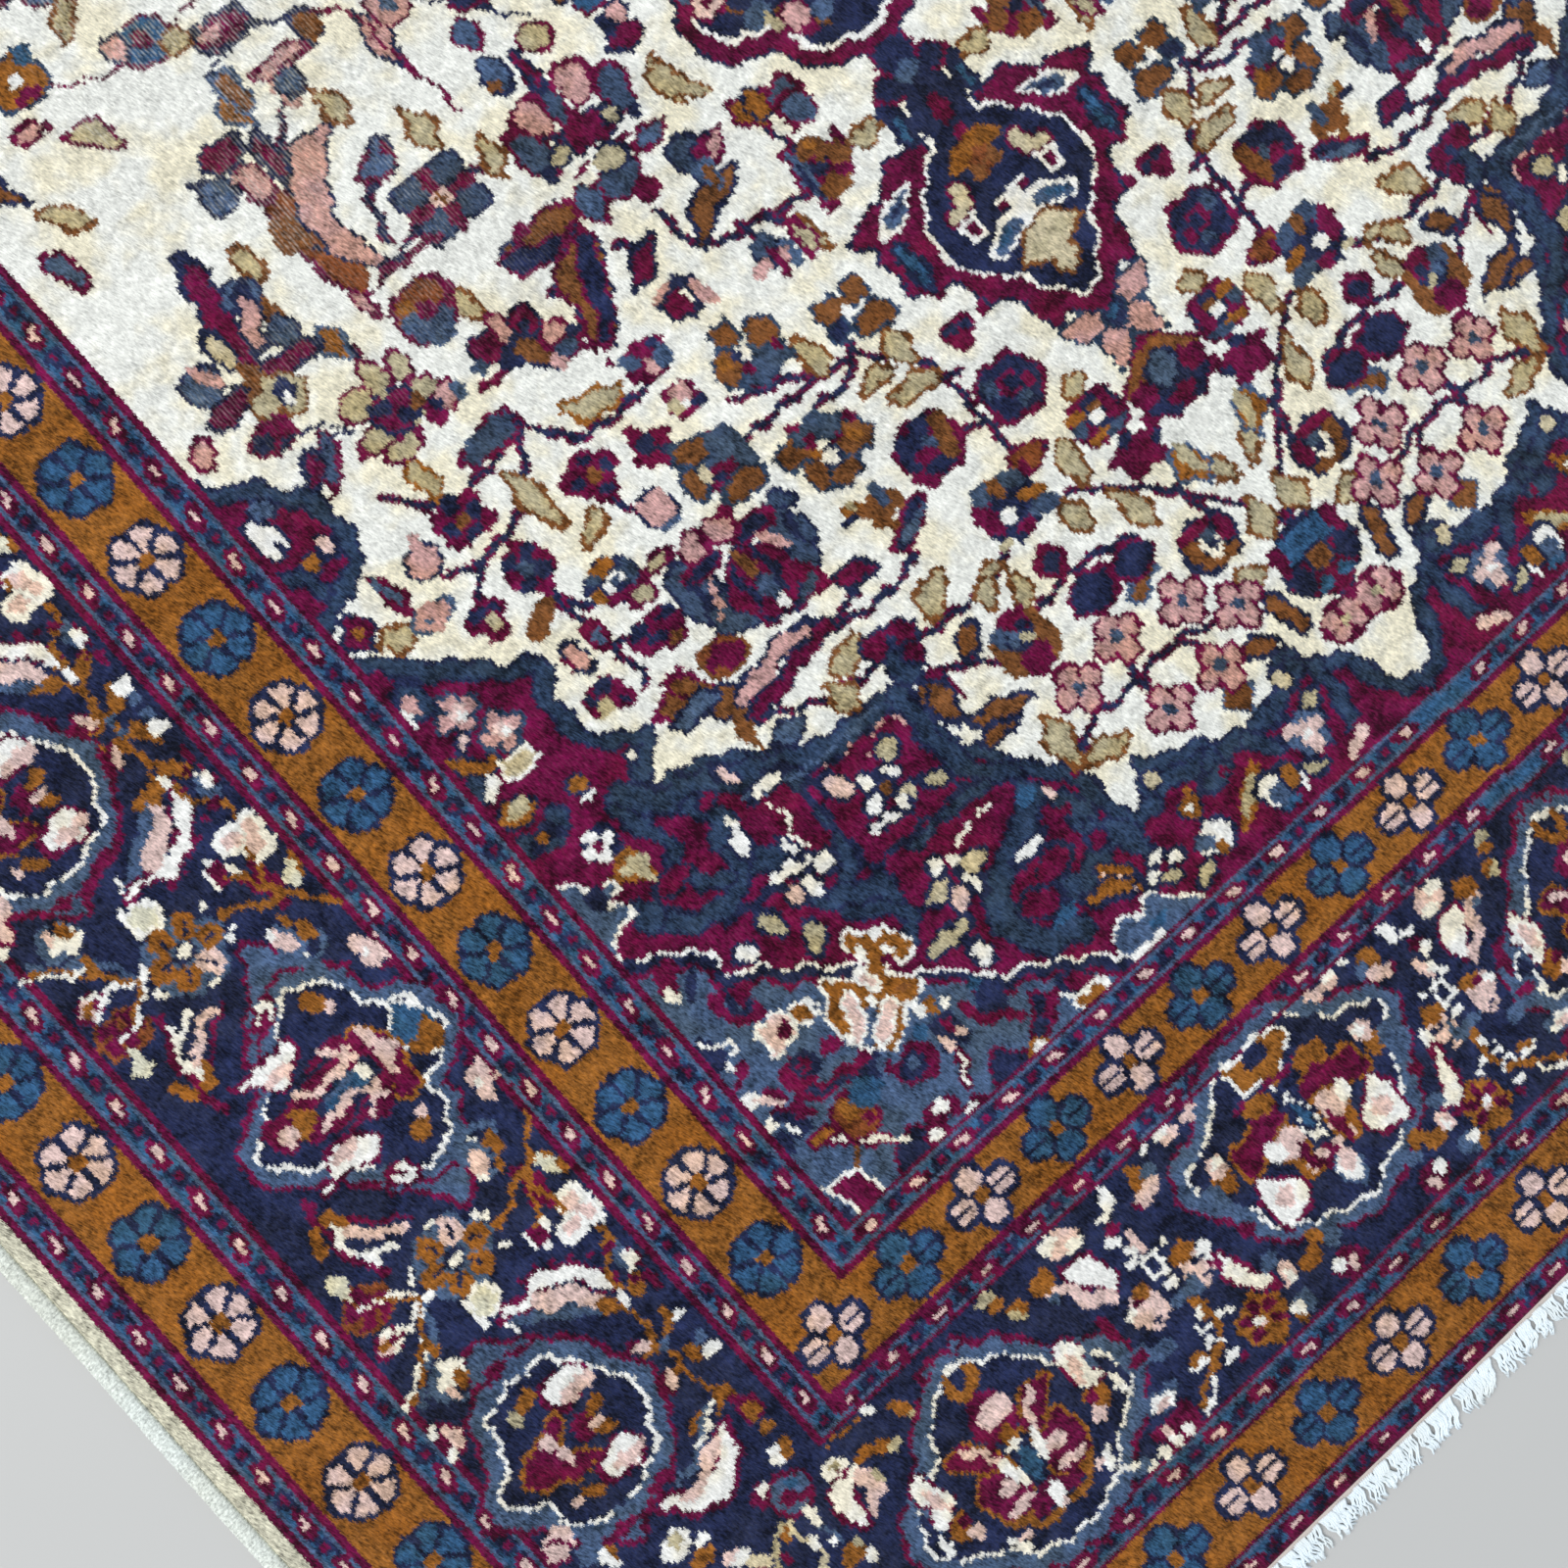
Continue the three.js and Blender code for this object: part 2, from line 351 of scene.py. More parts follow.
# Another one faces inwards at 680 and 1230 mm, larger and with crossed ribbons. Its halves mirror each other
halves = [((1, 0, way, 680 * (1 - way)), (1, 0, -way, 1230 + way * 680)) for way in (-1, 1)]
for places in halves:
    again(*places)
    blot(
        STEEL, CRIMSON, (205, 725), (215, 748), (240, 770), (248, 790), (262, 788), (266, 765), (282, 742),
        (240, 720), rim_width=4,
    )
again(OWN, (1, 0, -1, 1910))
ringed(
    (14, 10.5, 2.7), (168, 679), (184, 693), (204, 708), (226, 728), (240, 744), (256, 751), (270, 744),
    (281, 734), (283, 713), (300, 703), (313, 690), (315, 668), (304, 656), (283, 646), (281, 626),
    (272, 612), (255, 603), (240, 611), (224, 624), (204, 646), (184, 658), (174, 668),
)
blot(BLUE, WHITE, (284, 680), (300, 699), (311, 688), (312, 668), (302, 658))
blot(GOLD, None, (287, 672), (298, 674), (312, 680), (311, 660), (300, 658))
blot(CRIMSON, GOLD, (265, 648), (262, 680), (266, 702), (280, 696), (284, 676), (279, 650))
dabs((BLUSH, 274, 679, 4.5, 19), (BLUSH, 281, 680, 5, 5))
blot(
    CRIMSON, None, (198, 690), (225, 700), (250, 712), (262, 704), (262, 680), (262, 652), (250, 646),
    (225, 656), (198, 668),
)
dabs(
    (GOLD, 205, 680, 12, 10), (CRIMSON, 189, 680, 11, 13), (BLUSH, 190, 678, 7, 5.5),
    (NAVY, 236, 677, 24, 10), (BLUE, 236, 677, 16, 5.6), (STEEL, 236, 681, 12, 2), (WHITE, 256, 677, 5, 6),
    (CRIMSON, 220, 690, 12, 3, -8),
)
for places in halves:
    again(*places)
    vine(BLUSH, 6, (212, 694), (230, 689), (246, 690), (258, 700))
    vine(BLUSH, 5.5, (244, 706), (252, 698), (259, 690))
    vine(NAVY, 3, (215, 703), (236, 699), (247, 703))
    blot(
        WHITE, CRIMSON, (184, 727), (200, 723), (216, 727), (232, 727), (228, 714), (212, 706), (202, 710),
        (196, 720), rim_width=3.2,
    )
    dabs(
        (BLUSH, 210, 714, 10, 4.4), (STEEL, 231, 748, 14, 6, 35), (CRIMSON, 231, 750, 13, 8, 35),
        (WHITE, 231, 750, 9, 6, 35), (CRIMSON, 231, 749, 8, 2.4, 35), (GOLD, 261, 734, 6, 9, 30),
        (BLUSH, 268, 726, 5, 4), (STEEL, 282, 773, 17, 20), (NAVY, 284, 773, 13, 17),
        (WHITE, 278, 776, 6, 11), (GOLD, 291, 775, 5, 9, 10),
        (BLUSH, 311, 734, 7, 9), (WHITE, 308, 740, 4, 5), (BLUSH, 319, 745, 3, 6),
        (CRIMSON, 314, 722, 5, 3),
    )

# Between them: a gold vine with round flowers, and a long white sickle leaf
again(OWN, (1, 0, -1, 1360), (1, 0, 0.964, 574.3), (1, 0, -0.964, 1885.6))
knot(petals(5, 17, 14.5, 20, 0.84), CRIMSON, (157, 558.5), rim=RUST)
dabs(
    (RUST, 153, 566, 2, 5), (RUST, 167, 566, 3, 4, 40), (RUST, 146, 555, 5, 2), (RUST, 160, 550, 2, 4),
    (WHITE, 157, 560, 3.6, 2.4), (BEIGE, 152, 584, 7.4, 8), (BEIGE, 154, 575, 2.6, 5),
    (CRIMSON, 151, 531, 12.5, 8.6), (BLUSH, 150, 531, 8.6, 5.6), (GOLD, 150, 531, 6.4, 3.6),
    (CRIMSON, 157, 531, 3, 3), (WHITE, 155, 537, 7, 1.9, -30), (WHITE, 157, 526, 7, 2.2, 24),
)
vine(STEEL, 5, (188, 540), (180, 522), (172, 508), (158, 500), (140, 486))
vine(WHITE, 4.4, (164, 559), (172, 555), (180, 547), (187, 540), (197, 533))
vine(WHITE, 4, (162, 532), (172, 531), (182, 540), (177, 526), (170, 518))
vine(WHITE, 3.4, (168, 512), (150, 500), (140, 494), (132, 491))
vine(GOLD, 3.2, (166, 556), (176, 549), (184, 538), (180, 528), (168, 516), (152, 499), (138, 489))
dabs((GOLD, 169, 513, 5, 4), (GOLD, 172, 506, 3, 5))
knot(petals(6, 29, 26, 0, 0.97), STEEL, (222, 545))
knot(oval(8, 7), NAVY, (222, 544))
for k, place in around(222, 544.5, 6, 19, 17.5, 0.05):
    knot(oval(9, 8.2), BLUSH if k == 1 else GOLD, place, 60 * k + 3)
for k, place in around(222, 544.5, 6, 16, 15, 0.05):
    knot(oval(5.6, 1.7), NAVY, place, 60 * k + 3)
knot(oval(5, 3.6), WHITE, (222, 543))
dabs(
    (WHITE, 192, 555, 5, 2.4, 50), (WHITE, 249, 556, 2.2, 5, 40), (WHITE, 254, 552, 3, 2.4),
    (WHITE, 251, 529, 3, 3), (WHITE, 223, 572, 4, 1.8), (BEIGE, 215, 508, 9.6, 8.6, 30, WHITE),
    (WHITE, 207, 499, 3, 4), (WHITE, 207, 515, 3, 5), (WHITE, 227, 512, 3, 3.4),
    (CRIMSON, 271, 519, 8, 10), (WHITE, 265.5, 519, 2, 9), (WHITE, 280, 521, 2.2, 7),
    (WHITE, 272, 510, 3, 3), (CRIMSON, 273, 522, 3, 6),
)
vine(CRIMSON, 12, (290, 560), (292, 546), (294, 528))
vine(CRIMSON, 4, (288, 548), (282, 536), (278, 526))
vine(GOLD, 5, (255, 541), (268, 546), (282, 553), (292, 557), (300, 562), (308, 572), (318, 586))
vine(GOLD, 4, (292, 558), (289, 546), (283, 534), (276, 526))
vine(GOLD, 4.6, (294, 556), (292, 545), (294, 530), (297, 516), (303, 500), (305, 488), (303, 478))
for a, b, rx, ry in ((292, 506, 8, 7), (304, 521, 8, 8), (308, 508, 6, 8)):
    knot(oval(rx, ry), None, (a, b), rim=WHITE)
for a, b, rx, ry in ((292, 507, 7, 5), (303, 519, 6, 7), (307, 508, 5, 6)):
    knot(oval(rx, ry), BLUSH, (a, b))
vine(GOLD, 3.6, (295, 528), (294, 518))
dabs(
    (GOLD, 313, 546, 3, 11, 8), (BEIGE, 306, 552, 5.4, 10, 22), (STEEL, 276, 579, 10, 13),
    (NAVY, 282, 572, 4, 6), (BLUSH, 273, 578, 6, 10, -14), (WHITE, 270, 571, 3, 4),
    (GOLD, 287, 585, 2.6, 6, 30), (GOLD, 284, 573, 2.6, 6, -20), (STEEL, 165, 484, 15, 14),
    (NAVY, 168, 478, 6, 6), (WHITE, 160, 487, 4, 3.4), (WHITE, 169, 496, 3, 4), (BLUSH, 162, 479, 3.4, 6),
    (WHITE, 172, 485, 8, 9), (GOLD, 173, 484, 5, 7), (CRIMSON, 143, 459, 8.6, 12),
    (BLUSH, 144, 459, 5.4, 9), (WHITE, 135, 468, 4, 4), (WHITE, 136, 448, 4.4, 4),
    (BLUSH, 309, 614, 6.4, 7), (BLUSH, 317, 626, 3, 7), (CRIMSON, 320, 612, 4, 9),
    (CRIMSON, 310, 465, 4, 9), (STEEL, 305, 472, 4, 5),
    (WHITE, 305, 463, 4.4, 4.4),
)
vine(CRIMSON, 6, (171, 640), (170, 618), (169, 600), (174, 584), (179, 568))
vine(CRIMSON, 4, (186, 612), (200, 596), (216, 586))
vine(GOLD, 9, (158, 608), (161, 616), (170, 620), (180, 616), (183, 608))
vine(CRIMSON, 4.4, (171, 640), (170, 618), (172, 606))
vine(WHITE, 5, (174, 611), (174, 598), (178, 586), (180, 574))
vine(WHITE, 5.4, (180, 587), (189, 580), (197, 577))
vine(BLUSH, 7, (182, 604), (190, 596), (199, 587), (212, 584))
vine(NAVY, 2, (179, 600), (186, 591), (196, 586))
blot(
    STEEL, None, (218, 486), (228, 492), (244, 488), (262, 474), (276, 456), (268, 450), (252, 462),
    (234, 476),
)
for k in range(5):
    knot(oval(3.4, 2), CRIMSON, (243 + 11.5 * k, 504 - 0.9 * k * k - 1.4 * k), 45)
blot(
    WHITE, CRIMSON, (216, 491), (226, 494), (238, 493), (247, 500), (262, 496), (276, 486), (286, 470),
    (290, 456), (282, 462), (274, 474), (262, 484), (250, 488), (234, 488), (222, 490), rim_width=3.2,
)
vine(WHITE, 3, (219, 486), (220, 477))
blot(
    BLUSH, None, (240, 490), (254, 486), (268, 474), (280, 452), (274, 450), (264, 464), (250, 474),
    (241, 478),
)
vine(NAVY, 2, (254, 486), (264, 480), (274, 468), (282, 456))

# A thin gold stem beside each outer palmette, with small flowers on it
vine(
    GOLD, 4, (300, 482), (292, 468), (286, 450), (284, 425), (285, 398), (286, 370), (290, 352),
    (284, 344),
)
dabs(
    (GOLD, 275, 450, 8, 6, -50), (GOLD, 298, 446, 5, 8, -20), (WHITE, 286, 446, 3, 6),
    (CRIMSON, 300, 452, 4, 4), (STEEL, 303, 468, 6, 7), (WHITE, 307, 463, 4, 6), (CRIMSON, 301, 480, 5, 4),
    (CRIMSON, 309, 445, 4, 8), (GOLD, 276, 408, 7, 3.4, 20), (GOLD, 295, 412, 9, 3.4, 30),
    (STEEL, 286, 406, 4, 4), (GOLD, 300, 422, 3.4, 7), (WHITE, 306, 414, 6, 3),
    (GOLD, 279, 386, 7, 3.4, -30), (GOLD, 297, 388, 5, 8, 20), (STEEL, 306, 393, 5, 4),
    (WHITE, 305, 381, 6, 5), (CRIMSON, 268, 418, 8, 4, -20), (BLUSH, 273, 414, 6, 3.4, -30),
    (CRIMSON, 272, 385, 6, 10, -20), (BLUSH, 273, 383, 3.4, 7, -24), (GOLD, 268, 351, 9, 4, 20),
    (GOLD, 296, 354, 8, 5, -40), (BLUSH, 146, 356, 10, 8),
)

# The border's corner, where a flower on the mitre stands between two sickle leaves
again(OWN)
blot(
    WHITE, CRIMSON, (211, 326), (222, 315), (236, 303), (256, 302), (272, 314), (281, 336), (268, 330),
    (256, 320), (238, 316), (224, 324), rim_width=4,
)
blot(BLUSH, None, (226, 318), (242, 314), (262, 324), (274, 334), (262, 334), (246, 326))
vine(STEEL, 5, (230, 330), (246, 330), (262, 342), (280, 352))
vine(WHITE, 3, (256, 336), (270, 344), (284, 356))
dabs(
    (CRIMSON, 146, 351, 11, 9), (BLUSH, 145, 351, 8, 6.4), (STEEL, 158, 336, 10, 9),
    (WHITE, 166, 326, 5, 9, 20), (GOLD, 170, 324, 3, 6), (WHITE, 204, 299, 11, 10),
    (KHAKI, 205, 300, 5, 5), (WHITE, 218, 290, 5, 4), (GOLD, 214, 280, 11, 7, -10),
    (BLUSH, 226, 268, 7, 5), (WHITE, 228, 262, 7, 4), (CREAM, 240, 250, 4, 9, 50), (GOLD, 262, 256, 5, 7),
    (CRIMSON, 268, 284, 9, 8), (WHITE, 269, 285, 5, 4.4), (STEEL, 283, 271, 15, 13, 0, CRIMSON),
    (CRIMSON, 279, 270, 6, 5), (BLUE, 288, 276, 5, 4), (CRIMSON, 288, 263, 6, 4), (WHITE, 292, 299, 5, 8),
    (GOLD, 299, 294, 4, 7), (WHITE, 312, 263, 9, 6), (KHAKI, 316, 264, 4, 3), (GOLD, 335, 256, 9, 4, 10),
    (GOLD, 300, 330, 6, 7, 0, CRIMSON), (CRIMSON, 296, 346, 4, 6), (GOLD, 300, 316, 5, 5),
    (GOLD, 303, 300, 4, 5), (WHITE, 357, 277, 5, 4), (GOLD, 350, 251, 10, 5, -20), (KHAKI, 355, 247, 5, 4),
    (GOLD, 375, 262, 5, 12, 30), (KHAKI, 381, 252, 5, 5), (GOLD, 286, 211, 9, 8),
    (WHITE, 297, 204, 5, 5), (KHAKI, 294, 214, 3, 4),
)
vine(GOLD, 2, (322, 276), (336, 278), (352, 277))
vine(KHAKI, 4, (262, 258), (252, 250), (241, 240))
vine(CREAM, 4, (268, 258), (270, 244), (272, 228), (268, 216))
vine(STEEL, 3, (283, 262), (284, 244), (286, 226))
dabs(
    (WHITE, 284, 248, 3.4, 9), (WHITE, 284, 228, 3, 4), (WHITE, 273, 236, 4, 6), (CRIMSON, 252, 240, 3, 5),
)
blot(
    WHITE, CRIMSON, (312, 256), (300, 248), (297, 238), (302, 226), (310, 220), (310, 234), (318, 248),
    rim_width=3.2,
)
blot(BLUSH, None, (322, 254), (330, 252), (338, 240), (332, 228), (318, 222), (312, 216), (318, 232))
dabs((WHITE, 324, 254, 5, 3), (CRIMSON, 318, 255, 3, 3), (KHAKI, 334, 240, 3, 6))
bloom(160, 205, 6, 21, 16, CRIMSON, BLUSH, WHITE, GOLD)
bloom(206, 160, 6, 21, 16, CRIMSON, BLUSH, WHITE, GOLD)
bloom(175, 172, 6, 21, 16, GOLD, CRIMSON, WHITE, CRIMSON)
blot(WHITE, CRIMSON, (150, 262), (160, 250), (176, 246), (194, 252), (182, 256), (168, 262), rim_width=3.2)
blot(WHITE, CRIMSON, (262, 148), (250, 158), (246, 176), (252, 194), (258, 182), (262, 168), rim_width=3.2)
vine(GOLD, 4, (150, 240), (172, 222), (196, 208), (222, 196), (246, 186), (268, 166))
dabs(
    (KHAKI, 216, 222, 10, 5, 40), (BLUSH, 236, 214, 8, 6), (STEEL, 154, 150, 12, 10, 0, CRIMSON),
    (WHITE, 154, 150, 5, 4), (WHITE, 200, 238, 8, 5, 30), (BLUSH, 178, 282, 8, 9, 0, CRIMSON),
    (BLUSH, 284, 178, 9, 8, 0, CRIMSON), (GOLD, 230, 142, 12, 6, 20), (GOLD, 145, 228, 6, 12, 20),
    (CRIMSON, 228, 244, 7, 5),
)

# Along the ends the palmettes lie the other way. One faces outwards at 418 and 1000 mm from the side
again(OWN, (1, 582, 1, 0))
ringed(
    (16, 12.5, 2.6), (418, 258), (436, 248), (454, 236), (468, 216), (486, 204), (504, 190), (506, 168),
    (490, 152), (470, 140), (452, 122), (418, 114), (384, 122), (366, 140), (346, 152), (330, 168),
    (332, 190), (350, 204), (368, 216), (382, 236), (400, 248),
)
dabs(
    (GOLD, 418, 246, 13, 14), (NAVY, 418, 250, 5, 9), (WHITE, 418, 258, 6, 3), (CRIMSON, 418, 208, 16, 18),
    (GOLD, 418, 192, 6, 10), (BLUSH, 418, 216, 12, 9), (CRIMSON, 405, 268, 8, 6),
    (CRIMSON, 431, 268, 8, 6), (STEEL, 405, 268, 4, 3), (STEEL, 431, 268, 4, 3),
)
again(OWN, (-1, 836, 1, 0), (1, 582, 1, 0), (-1, 1418, 1, 0))
blot(CRIMSON, GOLD, (372, 210), (384, 214), (396, 206), (406, 190), (404, 176), (392, 182), (382, 196))
vine(BLUSH, 5, (384, 210), (394, 202), (402, 188))
blot(
    CRIMSON, GOLD, (378, 158), (376, 180), (388, 186), (400, 182), (408, 170), (406, 152), (398, 146),
    (384, 148),
)
dabs(
    (BLUSH, 394, 171, 8, 5), (WHITE, 404, 176, 3.4, 9, 10), (BLUSH, 397, 155, 12, 4.4),
    (GOLD, 389, 144, 10, 4.4, -30), (CRIMSON, 402, 142, 10, 5), (GOLD, 402, 134, 11, 3.6, -8),
    (CRIMSON, 404, 198, 3, 8, -20), (WHITE, 377, 134, 4, 8, 20), (BLUSH, 384, 137, 6, 3),
    (GOLD, 352, 171, 9, 10, -20), (CRIMSON, 358, 173, 4, 5), (BLUSH, 360, 165, 6, 6),
    (STEEL, 343, 190, 3, 16, 10), (WHITE, 337, 168, 3, 9),
)
blot(
    WHITE, CRIMSON, (350, 220), (357, 212), (361, 194), (353, 184), (342, 181), (345, 196), (341, 206),
    rim_width=2,
)
dabs((BLUSH, 352, 200, 5, 11, 10))
again(OWN, (1, 582, 1, 0))
dabs(
    (NAVY, 418, 170, 9, 20), (BLUE, 418, 172, 6, 15), (WHITE, 418, 189, 6, 3), (WHITE, 429, 172, 3, 9),
    (WHITE, 407, 172, 3, 9), (CRIMSON, 418, 150, 14, 5), (WHITE, 418, 141, 5.4, 9),
    (BLUSH, 418, 136, 3, 3),
)

# Another one faces inwards at 722, over the border's crimson line
again(OWN)
ringed(
    (16, 12.5, 2.6), (722, 281), (752, 281), (768, 272), (782, 256), (806, 248), (816, 236), (808, 215),
    (794, 195), (788, 180), (770, 164), (745, 152), (722, 144), (699, 152), (672, 164), (654, 180),
    (650, 195), (636, 215), (628, 236), (638, 246), (662, 252), (676, 268), (692, 280),
)
chart[(B > 280) & (B < 284) & (A > 640) & (A < 806)] = CRIMSON
blot(
    GOLD, WHITE, (701, 279), (698, 266), (707, 258), (715, 256), (722, 248), (729, 256), (738, 259),
    (747, 266), (743, 279),
)
dabs(
    (NAVY, 722, 274, 12, 8), (CRIMSON, 722, 251, 32, 3.4), (GOLD, 698, 244, 12, 8),
    (GOLD, 752, 246, 14, 9),
)
again(OWN, (-1, 1444, 1, 0))
blot(
    CRIMSON, GOLD, (662, 222), (666, 232), (690, 238), (712, 238), (714, 226), (698, 222), (680, 212),
    (664, 212),
)
blot(BLUSH, GOLD, (686, 214), (700, 220), (712, 218), (710, 196), (708, 182), (698, 184), (694, 200))
dabs(
    (CRIMSON, 706, 196, 4, 14), (WHITE, 690, 210, 6, 8, 20), (GOLD, 697, 192, 4, 10),
    (GOLD, 647, 218, 9, 9), (BLUSH, 650, 231, 7, 8), (WHITE, 652, 236, 5, 5), (STEEL, 640, 200, 7, 22, 14),
    (CRIMSON, 638, 186, 6, 6), (GOLD, 672, 150, 8, 7, 30), (STEEL, 680, 140, 7, 5), (GOLD, 656, 140, 9, 6),
)
blot(WHITE, CRIMSON, (664, 204), (680, 194), (690, 182), (686, 172), (672, 166), (660, 172), rim_width=3.2)
dabs(
    (BLUSH, 674, 186, 8, 8), (BLUSH, 662, 275, 8, 5), (STEEL, 668, 272, 6, 5), (CRIMSON, 676, 119, 13, 10),
    (WHITE, 671, 121, 5, 5), (BLUSH, 681, 117, 4, 6),
)
again(OWN)
dabs(
    (NAVY, 722, 220, 10, 22), (WHITE, 722, 221, 8, 19), (NAVY, 722, 221, 6, 15), (BLUE, 722, 221, 3.4, 11),
    (WHITE, 722, 200, 5, 3), (CRIMSON, 722, 184, 14, 9), (BLUSH, 715, 188, 4, 4), (BLUSH, 730, 188, 4, 4),
    (WHITE, 724, 169, 9, 11, 0, STEEL), (BLUSH, 726, 172, 6, 8),
)

# A square-eyed flower between them
again(OWN, (-0.915, 1382.6, 1, 0))
dabs(
    (BLUSH, 550, 189, 12, 14, 20), (BLUSH, 594, 189, 12, 14, -20), (WHITE, 538, 198, 5, 4),
    (WHITE, 606, 198, 6, 9), (GOLD, 553, 205, 9, 6), (GOLD, 594, 206, 10, 8), (NAVY, 572, 190, 8, 22),
    (STEEL, 586, 186, 4, 10), (CRIMSON, 546, 202, 5, 3), (NAVY, 550, 182, 5, 2), (NAVY, 596, 182, 6, 2),
    (NAVY, 596, 196, 7, 2), (CRIMSON, 603, 187, 3, 3),
)
knot(block(8, 9), WHITE, (572, 213))
knot(block(4.5, 5.5), NAVY, (572, 213))
dabs(
    (WHITE, 572, 196, 6, 3.4), (WHITE, 560, 224, 4, 3), (WHITE, 588, 222, 3, 3),
    (BLUSH, 573, 237, 4, 11, -10), (WHITE, 566, 231, 4, 5), (WHITE, 576, 270, 5, 9, -20),
    (WHITE, 566, 262, 8, 3), (CRIMSON, 562, 250, 7, 4, 30), (WHITE, 558, 245, 6, 4),
    (STEEL, 572, 182, 14, 5), (GOLD, 577, 166, 5, 10), (WHITE, 574, 168, 3, 5),
)
vine(WHITE, 3, (568, 163), (568, 154), (588, 156), (594, 150))
vine(GOLD, 4, (578, 160), (577, 148), (572, 138))
vine(WHITE, 4, (576, 142), (565, 146), (561, 136), (552, 124), (534, 112))
vine(GOLD, 5, (570, 142), (558, 132), (546, 126), (532, 118))
dabs(
    (GOLD, 552, 143, 9, 4, 10), (WHITE, 548, 139, 8, 2), (WHITE, 570, 128, 6, 4),
    (CRIMSON, 577, 122, 4, 4), (NAVY, 603, 133, 22, 20),
)
knot(petals(6, 20.5, 18), GOLD, (605, 131.5))
for k, place in around(605, 131.5, 6, 11.5, 11.5, pi / 2):
    if k != 3:
        knot(oval(6.2, 4), CRIMSON, place, 60 * k + 90)
dabs(
    (WHITE, 604, 132, 5, 4), (BLUSH, 604, 129, 3, 2), (GOLD, 627, 116, 5, 6), (STEEL, 636, 118, 8, 8),
    (WHITE, 630, 120, 5, 5),
)
blot(
    WHITE, CRIMSON, (610, 190), (606, 176), (610, 160), (620, 148), (632, 150), (622, 162), (614, 176),
    rim_width=3.6,
)
dabs(
    (BLUSH, 640, 146, 6, 9, -30), (STEEL, 632, 158, 8, 5, 30), (WHITE, 640, 142, 3, 6),
    (CRIMSON, 628, 142, 5, 3), (STEEL, 516, 140, 18, 8), (WHITE, 516, 138, 11, 5), (BLUSH, 512, 136, 7, 3),
    (CRIMSON, 504, 121, 18, 7), (BLUSH, 503, 119, 4, 5), (CRIMSON, 508, 112, 20, 5),
    (WHITE, 492, 112, 5, 5), (WHITE, 503, 112, 5, 5), (WHITE, 515, 112, 5, 5),
    (STEEL, 470, 116, 10, 5, -30), (WHITE, 468, 120, 6, 3, -30), (WHITE, 480, 110, 4, 3),
)
blot(
    WHITE, CRIMSON, (520, 252), (532, 254), (544, 244), (546, 228), (540, 220), (528, 234), (520, 244),
    rim_width=3,
)
vine(BLUSH, 8, (502, 250), (514, 240), (522, 226), (536, 216))
dabs(
    (BLUSH, 533, 269, 14, 10), (WHITE, 524, 274, 8, 6), (WHITE, 540, 262, 8, 5), (STEEL, 504, 244, 4, 4),
    (GOLD, 505, 257, 10, 8, 30), (GOLD, 480, 256, 8, 5, -30), (KHAKI, 478, 252, 6, 4, -30),
    (GOLD, 472, 268, 8, 4), (KHAKI, 468, 276, 8, 4), (GOLD, 602, 268, 8, 12, 10), (STEEL, 612, 262, 6, 6),
    (BLUSH, 600, 254, 11, 6, 10), (CRIMSON, 590, 252, 3, 4), (CRIMSON, 518, 200, 4, 14, 14),
    (STEEL, 520, 172, 12, 8), (CRIMSON, 520, 172, 8, 5), (STEEL, 538, 165, 10, 6), (WHITE, 620, 279, 4, 3),
    (BLUSH, 638, 274, 8, 5), (WHITE, 634, 279, 6, 3),
)
again(OWN)


# Inside the borders: an ivory field, with a crimson spandrel in the corner that a slate band edges
border = chart.copy()
inside = (A > STRIPES[-1][0]) & (B > STRIPES[-1][1])


def inset(form, depth):
    """The same form, smaller by a depth all round."""
    return Form(form.reach, lambda x, y: form.depth(x, y) + depth)


for points in (
    [
        (400, 1060), (432, 1048), (446, 1034), (463, 1029), (471, 1012), (486, 998), (488, 952), (470, 934),
        (446, 924), (400, 918),
    ],
    [
        (380, 898), (440, 886), (456, 871), (470, 856), (490, 841), (506, 825), (526, 816), (530, 801),
        (518, 792), (518, 756), (535, 738), (553, 728), (542, 713), (524, 698), (558, 690), (582, 680),
        (602, 663), (622, 649), (655, 641), (694, 639), (707, 620), (707, 586), (724, 565), (729, 545),
        (746, 529), (760, 510), (765, 488), (768, 463), (785, 460), (797, 486), (817, 475), (845, 465),
        (862, 452), (902, 450), (918, 470), (936, 474), (944, 455), (964, 445), (974, 425), (984, 402),
        (1004, 388), (1004, 330), (380, 330),
    ],
):
    form, middle = drawn(points)
    knot(form, SLATE, middle, rim=NAVY)
    knot(inset(form, 12), CRIMSON, middle, rim=NAVY, rim_width=2.6)

